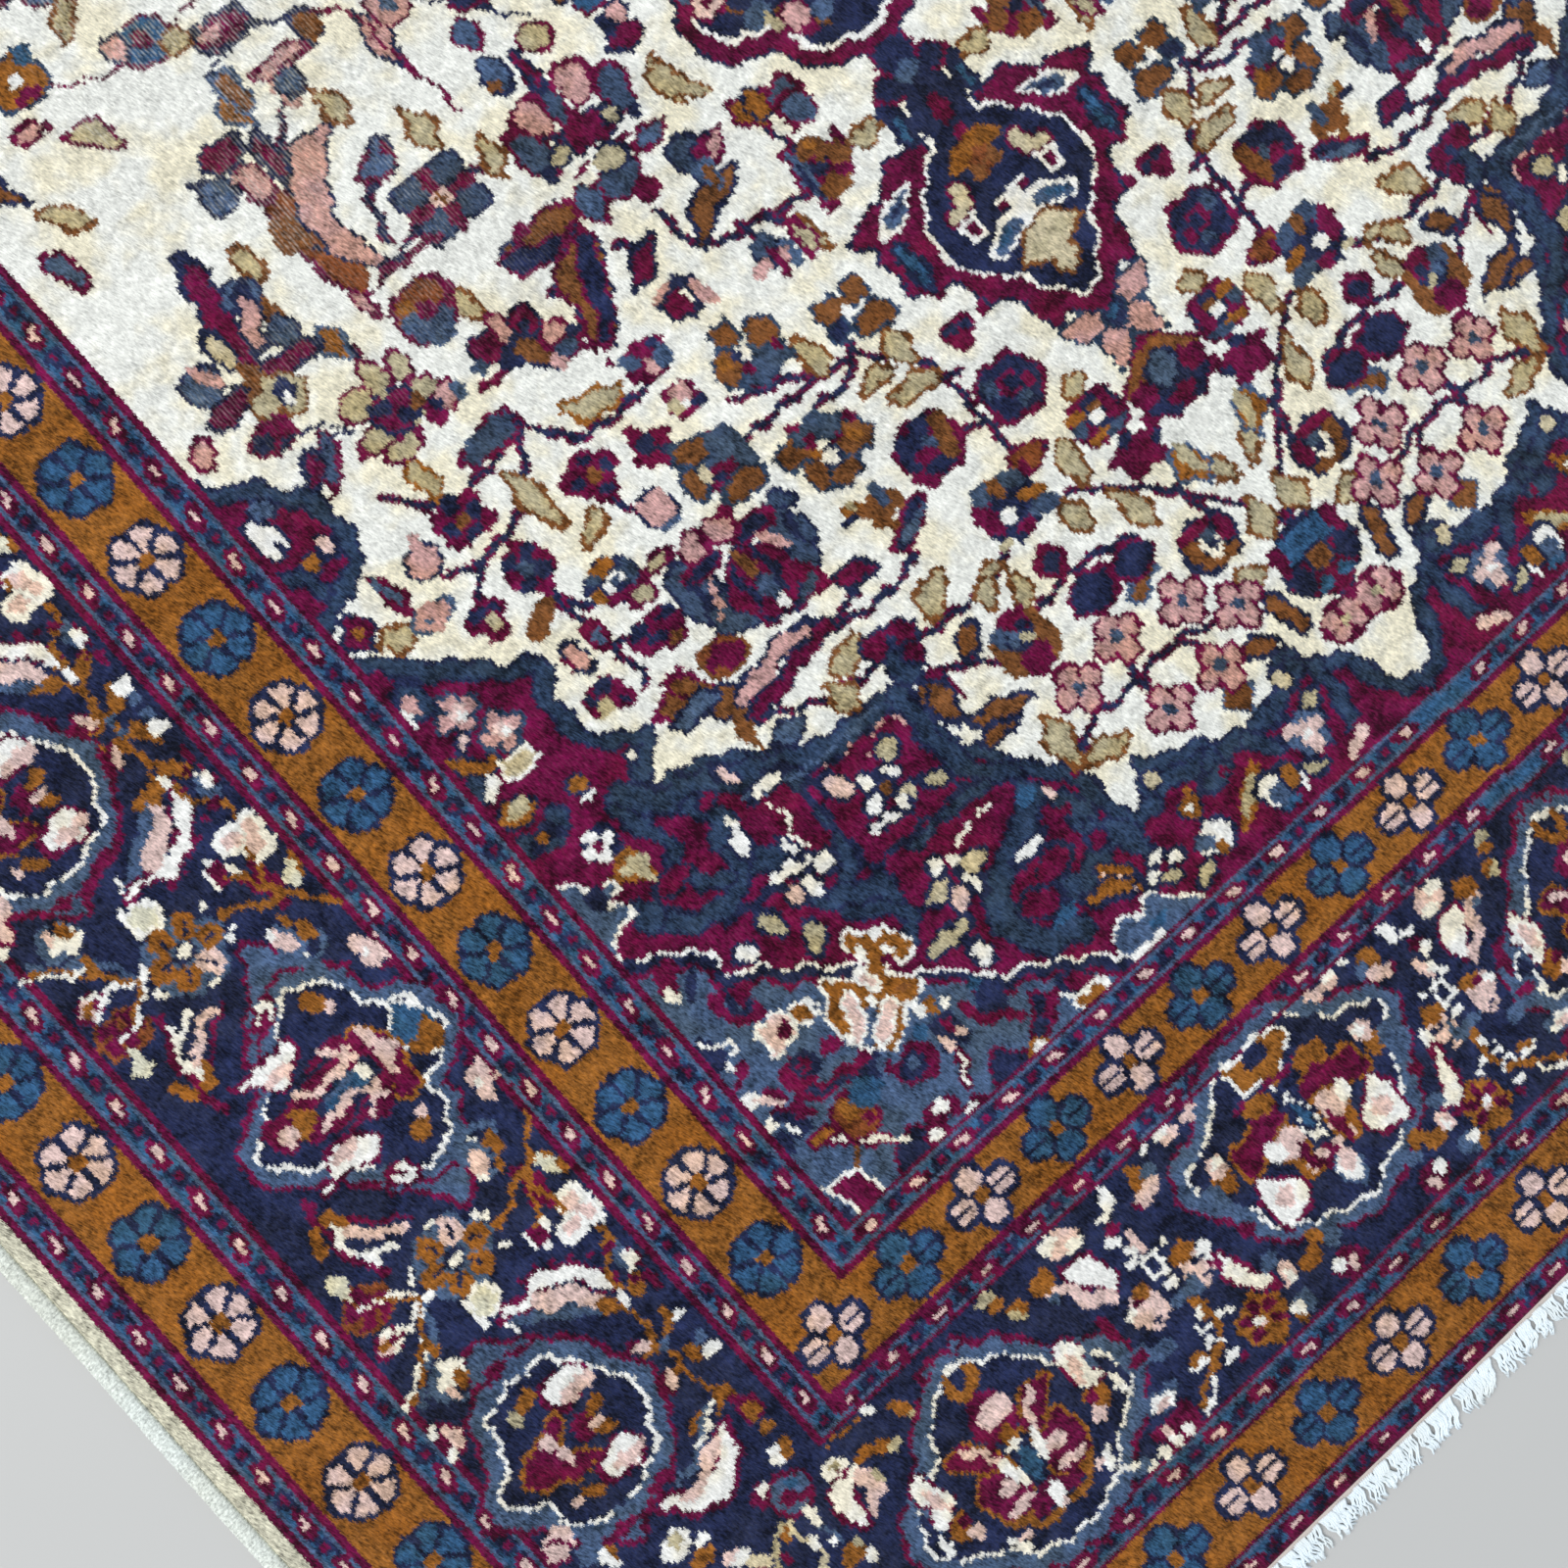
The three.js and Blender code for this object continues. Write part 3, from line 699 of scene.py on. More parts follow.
# Slate cloud bands on the crimson, with their own holes
for points, wide in (
    (((508, 704), (522, 686), (560, 672), (600, 650), (650, 634), (700, 632)), 17),
    (((540, 668), (548, 650), (538, 630), (548, 610), (560, 604)), 14),
    (((468, 636), (480, 612), (505, 602), (530, 606), (538, 626)), 11),
    (((505, 636), (512, 622), (524, 616)), 10), (((606, 640), (606, 600), (600, 574), (588, 560)), 8),
    (((700, 636), (698, 590), (704, 560), (724, 540)), 12), (((640, 547), (670, 549), (704, 546)), 6),
    (((566, 560), (584, 548), (604, 540), (600, 522)), 12),
    (((574, 540), (590, 530), (604, 516), (596, 500)), 10),
    (((724, 520), (700, 500), (664, 486), (652, 462), (664, 436), (690, 426)), 18),
    (((740, 500), (742, 470), (728, 450), (700, 450), (672, 462)), 15),
    (((742, 470), (756, 456), (760, 440)), 14), (((790, 466), (840, 452), (890, 446), (930, 460)), 12),
    (((944, 452), (942, 420), (936, 400)), 9), (((838, 450), (838, 440)), 12),
    (((868, 444), (884, 424)), 8), (((434, 722), (452, 716), (468, 724)), 10),
    (((432, 962), (448, 958), (446, 940)), 8), (((496, 700), (510, 660), (500, 640)), 8),
):
    vine(SLATE, wide, *points, rim=NAVY)
dabs(
    (CRIMSON, 740, 461, 6, 6, 0, NAVY), (CRIMSON, 676, 458, 14, 9, -20, NAVY),
    (CRIMSON, 700, 470, 14, 8, 20, NAVY), (CRIMSON, 550, 664, 6, 5, 20, NAVY),
    (CRIMSON, 736, 494, 9, 4, -30), (SLATE, 468, 630, 10, 10, 0, NAVY),
    (CRIMSON, 500, 638, 12, 8, 0, NAVY), (CRIMSON, 520, 630, 5, 8), (NAVY, 520, 590, 26, 4, -6),
    (SLATE, 838, 438, 12, 7, 0, NAVY), (CRIMSON, 840, 438, 5, 3), (BLUE, 690, 440, 12, 4, 14),
    (STEEL, 600, 640, 30, 3, -14), (STEEL, 660, 636, 30, 2.4), (BLUSH, 735, 512, 3, 6),
    (BLUE, 720, 520, 8, 6),
)
knot(block(42, 36), None, (648, 590), rim=NAVY, rim_width=3)
knot(block(40, 34), CRIMSON, (648, 590))
knot(block(34, 5), ROSE, (655, 622))
knot(block(31, 5), CRIMSON, (655, 621))

# What grows on the spandrel
dabs(
    (BLUSH, 626, 610, 6, 10, 30, NAVY), (KHAKI, 668, 608, 7, 8, -20, NAVY),
    (WHITE, 642, 602, 5, 7, 0, NAVY), (WHITE, 636, 586, 8, 5, 20, NAVY),
    (WHITE, 658, 596, 7, 4, -30, NAVY), (CREAM, 661, 579, 8, 5, 30, NAVY),
    (WHITE, 643, 571, 12, 3, -10, NAVY), (WHITE, 652, 576, 4, 6, 0, NAVY),
    (BROWN, 650, 588, 4, 5, 0, NAVY), (KHAKI, 682, 570, 9, 4, -40, NAVY), (WHITE, 626, 573, 6, 3),
    (WHITE, 640, 572, 5, 4),
)
dabs(
    (WHITE, 564, 590, 11, 5, -14, NAVY), (WHITE, 581, 580, 7, 6, -20, NAVY),
    (WHITE, 567, 571, 5, 9, 0, NAVY), (BLUSH, 554, 576, 6, 7, -20, NAVY),
    (WHITE, 571, 605, 3, 8, 10, NAVY), (WHITE, 553, 592, 6, 4), (NAVY, 573, 583, 4, 3),
    (WHITE, 504, 566, 8, 6, -10, NAVY), (KHAKI, 529, 567, 6, 9, 20, NAVY),
    (KHAKI, 545, 546, 6, 11, -30, NAVY), (WHITE, 549, 630, 6, 10, -14, NAVY), (WHITE, 552, 640, 3, 6),
    (WHITE, 585, 646, 14, 4, 6, NAVY), (BLUSH, 572, 666, 4, 7, 20, NAVY),
)
vine(WHITE, 2.8, (581, 634), (584, 620), (580, 610), (583, 596))
vine(WHITE, 2.8, (652, 526), (664, 525), (674, 532), (690, 533), (701, 531))
dabs(
    (CREAM, 634, 511, 11, 6, 10, NAVY), (CREAM, 664, 511, 10, 7, -10, NAVY),
    (BLUSH, 638, 497, 6, 8, -20, NAVY), (WHITE, 652, 503, 3, 9, 14, NAVY),
    (WHITE, 640, 524, 5, 6, 0, NAVY), (NAVY, 650, 514, 5, 5), (KHAKI, 605, 481, 12, 5, 0, NAVY),
    (KHAKI, 624, 481, 6, 4, 0, NAVY), (WHITE, 625, 456, 5, 10, 10, NAVY),
    (WHITE, 700, 491, 12, 4, 6, NAVY), (WHITE, 652, 521, 4, 4),
)
leaves(
    (GOLD, NAVY, 742, 414, 40, 20, 30), (BLUSH, None, 738, 418, 28, 12, 30),
    (GOLD, NAVY, 740, 424, 38, 12, 70), (GOLD, CRIMSON, 824, 396, 54, 17, -50),
    (KHAKI, None, 828, 399, 42, 11, -50), (KHAKI, NAVY, 906, 424, 34, 9, -60),
    (KHAKI, NAVY, 884, 400, 22, 9, -110), (BLUSH, CRIMSON, 918, 384, 30, 14, -70),
)
for a, b, turn, dye in (
    (762, 425, 20, WHITE), (752, 416, 20, WHITE), (774, 417, -20, WHITE), (763, 408, -20, KHAKI),
):
    knot(oval(6, 4), dye, (a, b), turn, NAVY)
dabs(
    (CRIMSON, 763, 418, 4, 4), (GOLD, 806, 436, 8, 8, 0, NAVY), (WHITE, 806, 436, 4, 3),
    (GOLD, 812, 446, 3, 4), (WHITE, 800, 407, 13, 10, 0, NAVY), (STEEL, 799, 408, 9, 6),
    (GOLD, 805, 400, 5, 6), (KHAKI, 785, 393, 9, 5, 20, NAVY), (WHITE, 861, 397, 9, 13, 10, NAVY),
    (STEEL, 862, 395, 7, 9), (BLUE, 866, 388, 8, 4), (GOLD, 876, 402, 5, 8, 0, NAVY),
    (WHITE, 882, 392, 2, 7),
)
bloom(907, 418, 5, 17, 12, STEEL, BLUSH, WHITE, NAVY)
dabs(
    (BLUSH, 900, 426, 7, 6), (BLUSH, 906, 407, 6, 5), (BLUSH, 916, 419, 6, 5), (STEEL, 896, 416, 4, 5),
    (WHITE, 906, 418, 3, 3), (CREAM, 797, 467, 6, 6, 0, NAVY), (CREAM, 918, 459, 6, 7, 0, NAVY),
)
blot(
    STEEL, WHITE, (695, 376), (699, 398), (712, 408), (724, 402), (738, 410), (748, 402), (758, 390),
    (768, 376),
)
dabs((WHITE, 712, 383, 16, 3), (BLUE, 738, 392, 9, 4))

# Beside the guard stripe
leaves((CRIMSON, NAVY, 447, 892, 28, 20, 4), (GOLD, None, 448, 900, 12, 9, 10))
lobes = ((0, 9), (0, -8.5), (-9.5, 0), (10, 0))
for a, b in ((460, 820), (475, 792)):
    for dx, dy in lobes:
        knot(oval(5.6, 5), None, (a + dx, b + dy), rim=SLATE)
    for dx, dy in lobes:
        knot(oval(5.6, 5), ROSE, (a + dx, b + dy))
    knot(oval(6, 6), BLUSH, (a + 1, b))
    knot(oval(3, 3.6), WHITE, (a + 2, b - 3))
vine(GOLD, 8, (432, 795), (441, 788), (448, 780), (455, 778), rim=NAVY)
dabs(
    (SLATE, 444, 840, 8, 13, 0, NAVY), (ROSE, 441, 846, 6, 8), (WHITE, 434, 840, 3, 11, -14),
    (BLUSH, 450, 803, 5, 3, 40, NAVY), (SLATE, 437, 774, 7, 9, 0, NAVY), (WHITE, 443, 765, 8.4, 4.6, 40),
    (GOLD, 448, 742, 13, 8.6, -6, NAVY), (KHAKI, 446, 744, 10, 5.4), (GOLD, 492, 730, 6.4, 6, 0, NAVY),
    (WHITE, 492, 720, 6, 2.6), (NAVY, 455, 716, 16, 10), (SLATE, 465, 723, 6, 8), (GOLD, 447, 719, 5, 4),
    (SLATE, 452, 709, 8, 3), (GOLD, 485, 660, 8, 15, 20), (GOLD, 482, 662, 15, 7, -10),
    (KHAKI, 480, 664, 10, 4.4, -10), (KHAKI, 485, 655, 3.6, 9, 14), (WHITE, 530, 721, 3, 3.4, 0, NAVY),
    (WHITE, 444, 988, 8, 14, 10, NAVY), (NAVY, 446, 984, 3, 6), (GOLD, 455, 963, 6, 6, 0, NAVY),
    (STEEL, 452, 1010, 8, 6, 0, NAVY), (BLUSH, 470, 966, 5, 7, 0, NAVY), (NAVY, 472, 689, 13, 12),
)
for dx, dy in lobes:
    knot(oval(5, 4.2), WHITE, (472 + 0.85 * dx, 689 + 0.9 * dy))
knot(oval(4, 3.8), CRIMSON, (472, 689))
knot(block(11.4, 5.4), CREAM, (470, 768), rim=WHITE)

# In the very corner: a steel ground edged with white, navy and crimson lines, and a gold vase on the mitre
ground, middle = drawn([
    (400, 634), (428, 622), (442, 611), (464, 597), (484, 578), (478, 562), (502, 554), (510, 541),
    (524, 532), (538, 518), (556, 506), (576, 480), (590, 473), (606, 456), (621, 436), (640, 430),
    (666, 413), (690, 395), (704, 374), (704, 340), (400, 340),
])
knot(ground, NAVY, middle, rim=WHITE, rim_width=2.6)
knot(inset(ground, 6.5), CRIMSON, middle)
knot(inset(ground, 10), STEEL, middle)
blot(
    STEEL, WHITE, (420, 690), (434, 684), (446, 668), (462, 660), (452, 652), (462, 643), (444, 636),
    (424, 630), rim_width=3,
)
dabs(
    (NAVY, 448, 660, 7, 9), (CRIMSON, 446, 586, 14, 8, 50), (WHITE, 443, 580, 4, 8, 20),
    (NAVY, 460, 576, 12, 5, 40),
)
vine(CRIMSON, 11, (464, 556), (465, 542), (471, 532), (481, 533), (480, 546))
vine(NAVY, 5, (471, 556), (470, 544), (475, 536), (480, 541))
dabs(
    (NAVY, 438, 528, 7, 13), (CRIMSON, 446, 508, 13, 4, 30),
    (WHITE, 443, 517, 3, 3), (WHITE, 437, 489, 5, 6, 20), (CRIMSON, 453, 478, 6, 8, 30),
    (WHITE, 437, 468, 4, 6, 20), (CRIMSON, 455, 462, 15, 6, -40), (NAVY, 445, 465, 7, 5, -20),
    (NAVY, 436, 452, 7, 9), (NAVY, 451, 451, 8, 6), (WHITE, 446, 452, 2.4, 5),
)
vine(WHITE, 3, (436, 544), (440, 535), (447, 530), (455, 529), (451, 522), (446, 519))
vine(BLUSH, 5, (440, 487), (446, 480), (450, 473))
vine(CRIMSON, 11, (466, 466), (486, 459), (510, 458))
vine(NAVY, 4, (470, 466), (488, 457), (506, 452), (520, 450))
dabs(
    (CRIMSON, 478, 481, 15, 13), (NAVY, 478, 482, 10.5, 9), (CRIMSON, 478, 482, 6, 5),
    (NAVY, 477, 481, 2.6, 2.4), (CRIMSON, 501, 481, 8, 6, -20), (NAVY, 522, 461, 7, 8),
    (CRIMSON, 516, 460, 4, 5), (CRIMSON, 536, 431, 16, 14), (NAVY, 537, 431, 11, 10),
    (STEEL, 537, 432, 5, 4.4), (STEEL, 530, 444, 7, 5), (CRIMSON, 524, 442, 3, 6), (NAVY, 512, 446, 5, 8),
)
blot(BLUSH, WHITE, (471, 521), (488, 522), (492, 513), (488, 502), (469, 502), (474, 512), rim_width=2.6)
dabs((CRIMSON, 487, 511, 5.4, 7, -20), (GOLD, 503, 511, 7, 7, 0, WHITE))
vine(WHITE, 2.4, (511, 516), (513, 508), (514, 502))
blot(
    GOLD, WHITE, (513, 478), (514, 490), (522, 504), (529, 515), (538, 511), (546, 502), (555, 503),
    (561, 506), (556, 514), (556, 524), (563, 529), (571, 524), (580, 518), (588, 512), (591, 501),
    (585, 493), (577, 494), (570, 500), (567, 492), (569, 484), (576, 477), (574, 470), (562, 466),
    (552, 459), (540, 452), (529, 454), (522, 466),
)
blot(STEEL, None, (520, 466), (530, 482), (544, 482), (540, 470), (530, 458))
blot(BLUSH, WHITE, (533, 501), (537, 488), (530, 476), (521, 470), (519, 474), (525, 486), rim_width=2.4)
blot(BLUSH, WHITE, (530, 459), (534, 467), (546, 476), (555, 475), (551, 467), (541, 459), rim_width=2.4)
dabs(
    (BLUSH, 552, 496, 3.6, 6.4, 8, WHITE), (WHITE, 545, 485, 2.6, 5, -20), (WHITE, 562, 516, 3, 4.6),
    (WHITE, 577, 517, 4, 3.4, -40), (WHITE, 578, 502, 3, 4, 20), (CRIMSON, 573, 498, 4.4, 5, 30),
    (BROWN, 565, 478, 5, 3), (GOLD, 573, 456, 6, 7), (WHITE, 565, 456, 3.6, 6, -10),
    (WHITE, 582, 451, 3.6, 5),
)
knot(block(11, 13), NAVY, (571, 433))
dabs((CRIMSON, 573, 438, 4.4, 6), (BLUSH, 564, 427, 4, 7), (BLUSH, 577, 428, 3, 5, -20))
vine(WHITE, 3, (564, 416), (566, 408), (559, 402), (556, 396), rim=CRIMSON)
vine(CRIMSON, 9, (592, 438), (592, 426), (603, 418), (614, 410))
dabs((NAVY, 608, 432, 10, 13, 20), (NAVY, 599, 428, 3, 3))
blot(
    RUST, CRIMSON, (473, 443), (482, 448), (492, 441), (497, 429), (490, 419), (477, 417), (471, 428),
    rim_width=3.8,
)
dabs(
    (GOLD, 483, 436, 5, 8), (CRIMSON, 491, 426, 4, 6, -20), (GOLD, 456, 437, 8, 4, -20, CRIMSON),
    (RUST, 474, 423, 6, 3),
)
vine(WHITE, 3, (461, 430), (466, 425), (468, 430), rim=CRIMSON)
vine(WHITE, 4, (476, 416), (482, 412), (488, 406), rim=CRIMSON)
vine(BROWN, 3, (471, 416), (464, 409), (459, 403))
blot(NAVY, CRIMSON, (483, 384), (496, 397), (508, 400), (512, 390), (508, 370), (484, 370))
vine(WHITE, 3, (492, 402), (498, 400), (503, 395))
blot(
    CRIMSON, WHITE, (440, 405), (456, 405), (460, 395), (464, 388), (464, 368), (445, 368), (442, 388),
    rim_width=2.6,
)
vine(WHITE, 2.6, (430, 414), (437, 408), (440, 398))
dabs(
    (NAVY, 435, 386, 5, 9), (CRIMSON, 534, 392, 16, 12), (CRIMSON, 516, 381, 9, 9),
    (CRIMSON, 550, 380, 10, 9), (STEEL, 533, 384, 5, 5), (WHITE, 534, 398, 6.4, 5.6),
    (WHITE, 517, 382, 4.4, 4.8), (WHITE, 549, 381, 5, 4.6),
)
blot(NAVY, CRIMSON, (570, 372), (575, 386), (584, 400), (592, 394), (602, 380), (602, 368))
blot(NAVY, CRIMSON, (612, 392), (622, 398), (631, 413), (637, 404), (633, 392), (620, 386), rim_width=3.2)
dabs(
    (WHITE, 613, 382, 5, 3.6, 0, GOLD), (CRIMSON, 640, 400, 12, 5, 20),
    (CRIMSON, 664, 396, 12, 7, -40, NAVY), (GOLD, 662, 385, 10, 5, -10, WHITE), (BLUE, 606, 446, 5, 4),
    (BLUE, 500, 440, 12, 10), (BLUE, 556, 445, 5, 6),
)
vine(WHITE, 2.6, (648, 398), (656, 392), (664, 386))


# The ivory field. Stems first, then what grows on them
for points in (
    ((520, 966), (536, 944), (546, 934)), ((566, 934), (590, 936), (612, 942), (624, 954)),
    ((624, 946), (612, 930), (600, 912), (584, 898), (562, 893), (540, 888), (516, 898)),
    ((540, 889), (530, 878), (522, 866)), ((624, 946), (634, 930), (652, 912), (684, 909), (712, 912)),
    ((640, 905), (641, 862), (652, 842)), ((562, 850), (566, 824), (566, 798), (582, 782)),
    ((568, 830), (580, 818)), ((570, 786), (574, 764), (570, 752)),
    ((612, 686), (650, 668), (680, 660), (700, 658)), ((612, 694), (664, 712), (700, 704), (724, 706)),
    ((700, 698), (724, 692), (756, 694), (776, 700)), ((740, 652), (776, 650), (812, 653), (830, 662)),
    ((726, 628), (748, 618), (766, 606)), ((820, 613), (850, 618), (890, 612), (902, 606)),
    ((800, 532), (820, 526), (846, 530), (884, 530), (906, 520), (922, 512)),
    ((762, 508), (780, 522), (802, 534), (800, 548)), ((836, 532), (846, 546), (852, 552)),
    ((838, 528), (846, 508), (848, 500)), ((880, 528), (890, 512)),
    ((1000, 540), (982, 570), (962, 596), (942, 618), (924, 634), (906, 650), (886, 662)),
    ((952, 600), (956, 586)), ((738, 838), (770, 839), (804, 838), (830, 834), (838, 842)),
    ((800, 846), (786, 852), (764, 858), (748, 866)),
    ((838, 834), (852, 818), (868, 800), (874, 778), (876, 740), (878, 706)), ((870, 782), (884, 778)),
    ((874, 740), (858, 742)), ((884, 700), (900, 698)), ((790, 824), (818, 822), (830, 828)),
    ((796, 1000), (799, 978), (806, 962)), ((806, 964), (822, 952), (846, 950), (870, 944), (900, 944)),
    ((850, 946), (862, 938), (868, 930)), ((836, 956), (838, 944)),
    ((784, 1080), (748, 1096), (700, 1100), (650, 1090), (618, 1080)), ((905, 900), (888, 894)),
    ((700, 1000), (716, 1012), (740, 1030)), ((566, 1034), (572, 1060)),
    ((640, 1100), (650, 1130), (668, 1140)), ((620, 1185), (640, 1210), (660, 1222)),
    ((758, 1000), (770, 990), (778, 984)),
    ((902, 1010), (896, 990), (902, 972)),
):
    vine(CRIMSON, 7, *points)
    vine(NAVY, 4, *points)

# Leaves: khaki in brown, and brown, crimson and steel ones in darker rims
leaves(
    (KHAKI, BROWN, 600, 872, 54, 15, 6), (KHAKI, BROWN, 604, 851, 28, 12, -56),
    (KHAKI, BROWN, 478, 884, 26, 17, 84), (KHAKI, GOLD, 550, 944, 28, 16, 0),
    (KHAKI, GOLD, 652, 934, 46, 17, -104, 5), (KHAKI, BROWN, 704, 683, 32, 17, 114),
    (KHAKI, BROWN, 674, 645, 26, 16, 20), (KHAKI, BROWN, 813, 838, 30, 18, 4),
    (KHAKI, BROWN, 866, 802, 32, 16, 8), (KHAKI, BROWN, 850, 812, 30, 11, 94),
    (KHAKI, BROWN, 874, 788, 40, 15, 84), (KHAKI, BROWN, 902, 660, 34, 18, -8),
    (KHAKI, BROWN, 752, 660, 34, 20, -52), (KHAKI, BROWN, 818, 654, 22, 8, 80),
    (KHAKI, BROWN, 792, 636, 22, 13, -20), (KHAKI, BROWN, 812, 618, 28, 13, -16),
    (KHAKI, BROWN, 884, 632, 26, 20, 10), (KHAKI, BROWN, 924, 602, 42, 15, 16),
    (KHAKI, BROWN, 764, 512, 40, 19, -8), (KHAKI, BROWN, 770, 510, 38, 14, -100),
    (KHAKI, BROWN, 962, 530, 34, 16, 96), (KHAKI, BROWN, 980, 540, 32, 18, -16),
    (BROWN, STEEL, 872, 572, 28, 13, -70), (BROWN, NAVY, 908, 492, 28, 13, -110),
    (BROWN, NAVY, 958, 474, 38, 15, 14), (BROWN, STEEL, 886, 460, 24, 22, 0),
    (KHAKI, BROWN, 990, 590, 30, 14, 20), (GOLD, STEEL, 976, 604, 36, 22, 20, 0, KHAKI),
    (BROWN, NAVY, 752, 620, 28, 13, -50), (BROWN, NAVY, 720, 590, 40, 17, 8),
    (BROWN, NAVY, 722, 566, 38, 16, -80), (BROWN, NAVY, 726, 584, 48, 14, -106),
    (BROWN, CRIMSON, 562, 728, 34, 15, -60, 5), (BROWN, CRIMSON, 604, 724, 30, 14, 44, -4),
    (BROWN, None, 526, 830, 40, 16, -68, 5), (BROWN, None, 530, 822, 24, 9, -66),
    (BROWN, NAVY, 594, 722, 34, 22, -150), (BROWN, None, 605, 708, 44, 14, 174),
    (STEEL, NAVY, 566, 716, 38, 14, -86), (DUSK, CRIMSON, 576, 948, 50, 18, -76, 4),
    (DUSK, CRIMSON, 500, 990, 40, 14, -28), (CRIMSON, None, 484, 888, 46, 17, 8),
    (STEEL, None, 481, 900, 30, 8, 4), (STEEL, NAVY, 612, 664, 26, 14, -90),
    (DUSK, NAVY, 716, 794, 22, 13, -110), (NAVY, CRIMSON, 768, 710, 40, 15, -64, 0, STEEL),
    (CRIMSON, NAVY, 716, 722, 34, 15, -106), (KHAKI, CRIMSON, 622, 812, 22, 9, -90),
    (CRIMSON, None, 700, 934, 10, 6, 0), (NAVY, CRIMSON, 700, 954, 52, 15, -40),
    (CRIMSON, NAVY, 750, 966, 40, 13, -52),
    (BROWN, NAVY, 806, 962, 62, 20, -64, -9), (KHAKI, BROWN, 936, 948, 26, 16, -90),
    (KHAKI, BROWN, 872, 906, 26, 12, 10), (KHAKI, CRIMSON, 864, 908, 26, 12, -4),
    (KHAKI, BROWN, 944, 708, 18, 18, 10), (KHAKI, BROWN, 556, 1130, 30, 15, 0),
    (KHAKI, BROWN, 710, 1128, 34, 16, 6),
    (KHAKI, BROWN, 730, 1086, 30, 14, -10), (KHAKI, BROWN, 862, 1050, 34, 15, -6),
    (KHAKI, BROWN, 652, 1018, 26, 14, 6), (BROWN, NAVY, 690, 1040, 56, 17, -84, 6),
    (BROWN, NAVY, 712, 950, 70, 22, -32, -8), (GOLD, CRIMSON, 900, 1000, 30, 16, 30),
    (STEEL, CRIMSON, 914, 984, 34, 15, -20), (KHAKI, BROWN, 674, 1180, 32, 14, 8),
    (STEEL, NAVY, 664, 1136, 28, 16, -40, 0, CRIMSON), (STEEL, ROSE, 652, 1214, 26, 14, -30),
    (GOLD, STEEL, 622, 1220, 26, 16, 20), (ROSE, NAVY, 596, 1176, 28, 16, 10),
    (STEEL, NAVY, 576, 1188, 26, 12, 30), (CRIMSON, NAVY, 614, 1188, 24, 14, -10),
    (CRIMSON, NAVY, 640, 1268, 26, 18, 10, 0, ROSE), (CRIMSON, NAVY, 492, 1000, 26, 12, -30),
    (GOLD, STEEL, 566, 1056, 26, 14, 10),
)

# Rose ribbons and balls
vine(NAVY, 17, (616, 704), (640, 708), (664, 713), (686, 706))
vine(ROSE, 11, (616, 702), (640, 707), (662, 712), (680, 706))
vine(NAVY, 14, (614, 688), (644, 693), (670, 700), (694, 702))
vine(CRIMSON, 9, (614, 688), (644, 692), (672, 699), (694, 702))
dabs(
    (CRIMSON, 626, 733, 15, 13, 0, BROWN), (RUST, 616, 742, 7, 5), (RUST, 634, 742, 6, 5),
    (RUST, 616, 726, 5, 6), (CRIMSON, 624, 732, 8, 8), (RUST, 886, 700, 14, 9, 0, CRIMSON),
    (NAVY, 848, 596, 18, 12, 0, CRIMSON), (NAVY, 895, 594, 16, 12, 0, CRIMSON),
    (CRIMSON, 845, 634, 11, 11, 0, CRIMSON), (NAVY, 845, 632, 7, 9),
)

# Crimson and navy flowers, cut square by the knots
flower(
    551, 919, (CRIMSON, 15, 15), (CRIMSON, -12, 8, 8, 9), (CRIMSON, 12, 8, 8, 8), (CRIMSON, -11, -9, 9, 8),
    (CRIMSON, 11, -9, 9, 8), (NAVY, 0, 14, 6, 8), (NAVY, -10, 0, 5, 6), (NAVY, 11, 1, 5, 7),
    (NAVY, 0, -11, 7, 4), (BROWN, 0, 0, 5.4, 5.4),
)
flower(
    638, 885, (CRIMSON, 14, 14), (CRIMSON, -13, 6, 9, 9), (CRIMSON, 14, 4, 8, 10), (CRIMSON, 1, 14, 10, 7),
    (CRIMSON, 1, -13, 10, 6), (NAVY, -11, 3, 5, 5), (NAVY, 13, 2, 4, 6), (NAVY, 2, 13, 5, 4),
    (NAVY, 2, -11, 5, 4), (BROWN, 1, 1, 5, 5),
)
flower(
    684, 876, (CRIMSON, 13, 12), (CRIMSON, -6, 14, 6, 8), (CRIMSON, -14, -2, 5, 4), (CRIMSON, 14, 3, 4, 5),
    (CRIMSON, 3, -11, 8, 6), (NAVY, -2, 3, 8, 7), (NAVY, 6, -7, 5, 4), (CRIMSON, 4, 1, 4, 3),
)
flower(
    563, 866, (CRIMSON, 17, 18), (NAVY, -8, 10, 6, 5), (NAVY, 8, 10, 6, 5), (NAVY, -7, -9, 7, 6),
    (NAVY, 8, -8, 6, 6), (NAVY, 0, 0, 8, 8), (DUSK, -2, 0, 5, 6), (CRIMSON, 0, -19, 5, 6),
)
flower(
    519, 860, (CRIMSON, 15, 9), (NAVY, -4, 3, 7, 5), (NAVY, 8, 0, 4, 4), (CRIMSON, 0, -12, 9, 9),
    (KHAKI, 2, -8, 5, 6), (CRIMSON, -6, -15, 3, 5),
)
flower(
    543, 764, (CRIMSON, 15, 12), (NAVY, 4, 6, 8, 5), (NAVY, -9, 4, 4, 5), (KHAKI, -4, -6, 6, 7, -30),
    (CRIMSON, 10, -9, 9, 7), (NAVY, 10, -10, 4, 3),
)
flower(
    601, 777, (CRIMSON, 21, 12), (NAVY, -12, 6, 8, 5), (NAVY, 12, 5, 8, 4), (NAVY, -4, -5, 9, 4),
    (CRIMSON, 2, 2, 6, 4), (CRIMSON, 6, -13, 9, 6), (BROWN, 6, -13, 6, 4),
)
flower(567, 800, (CRIMSON, 8, 12), (STEEL, 1, 0, 4, 6))
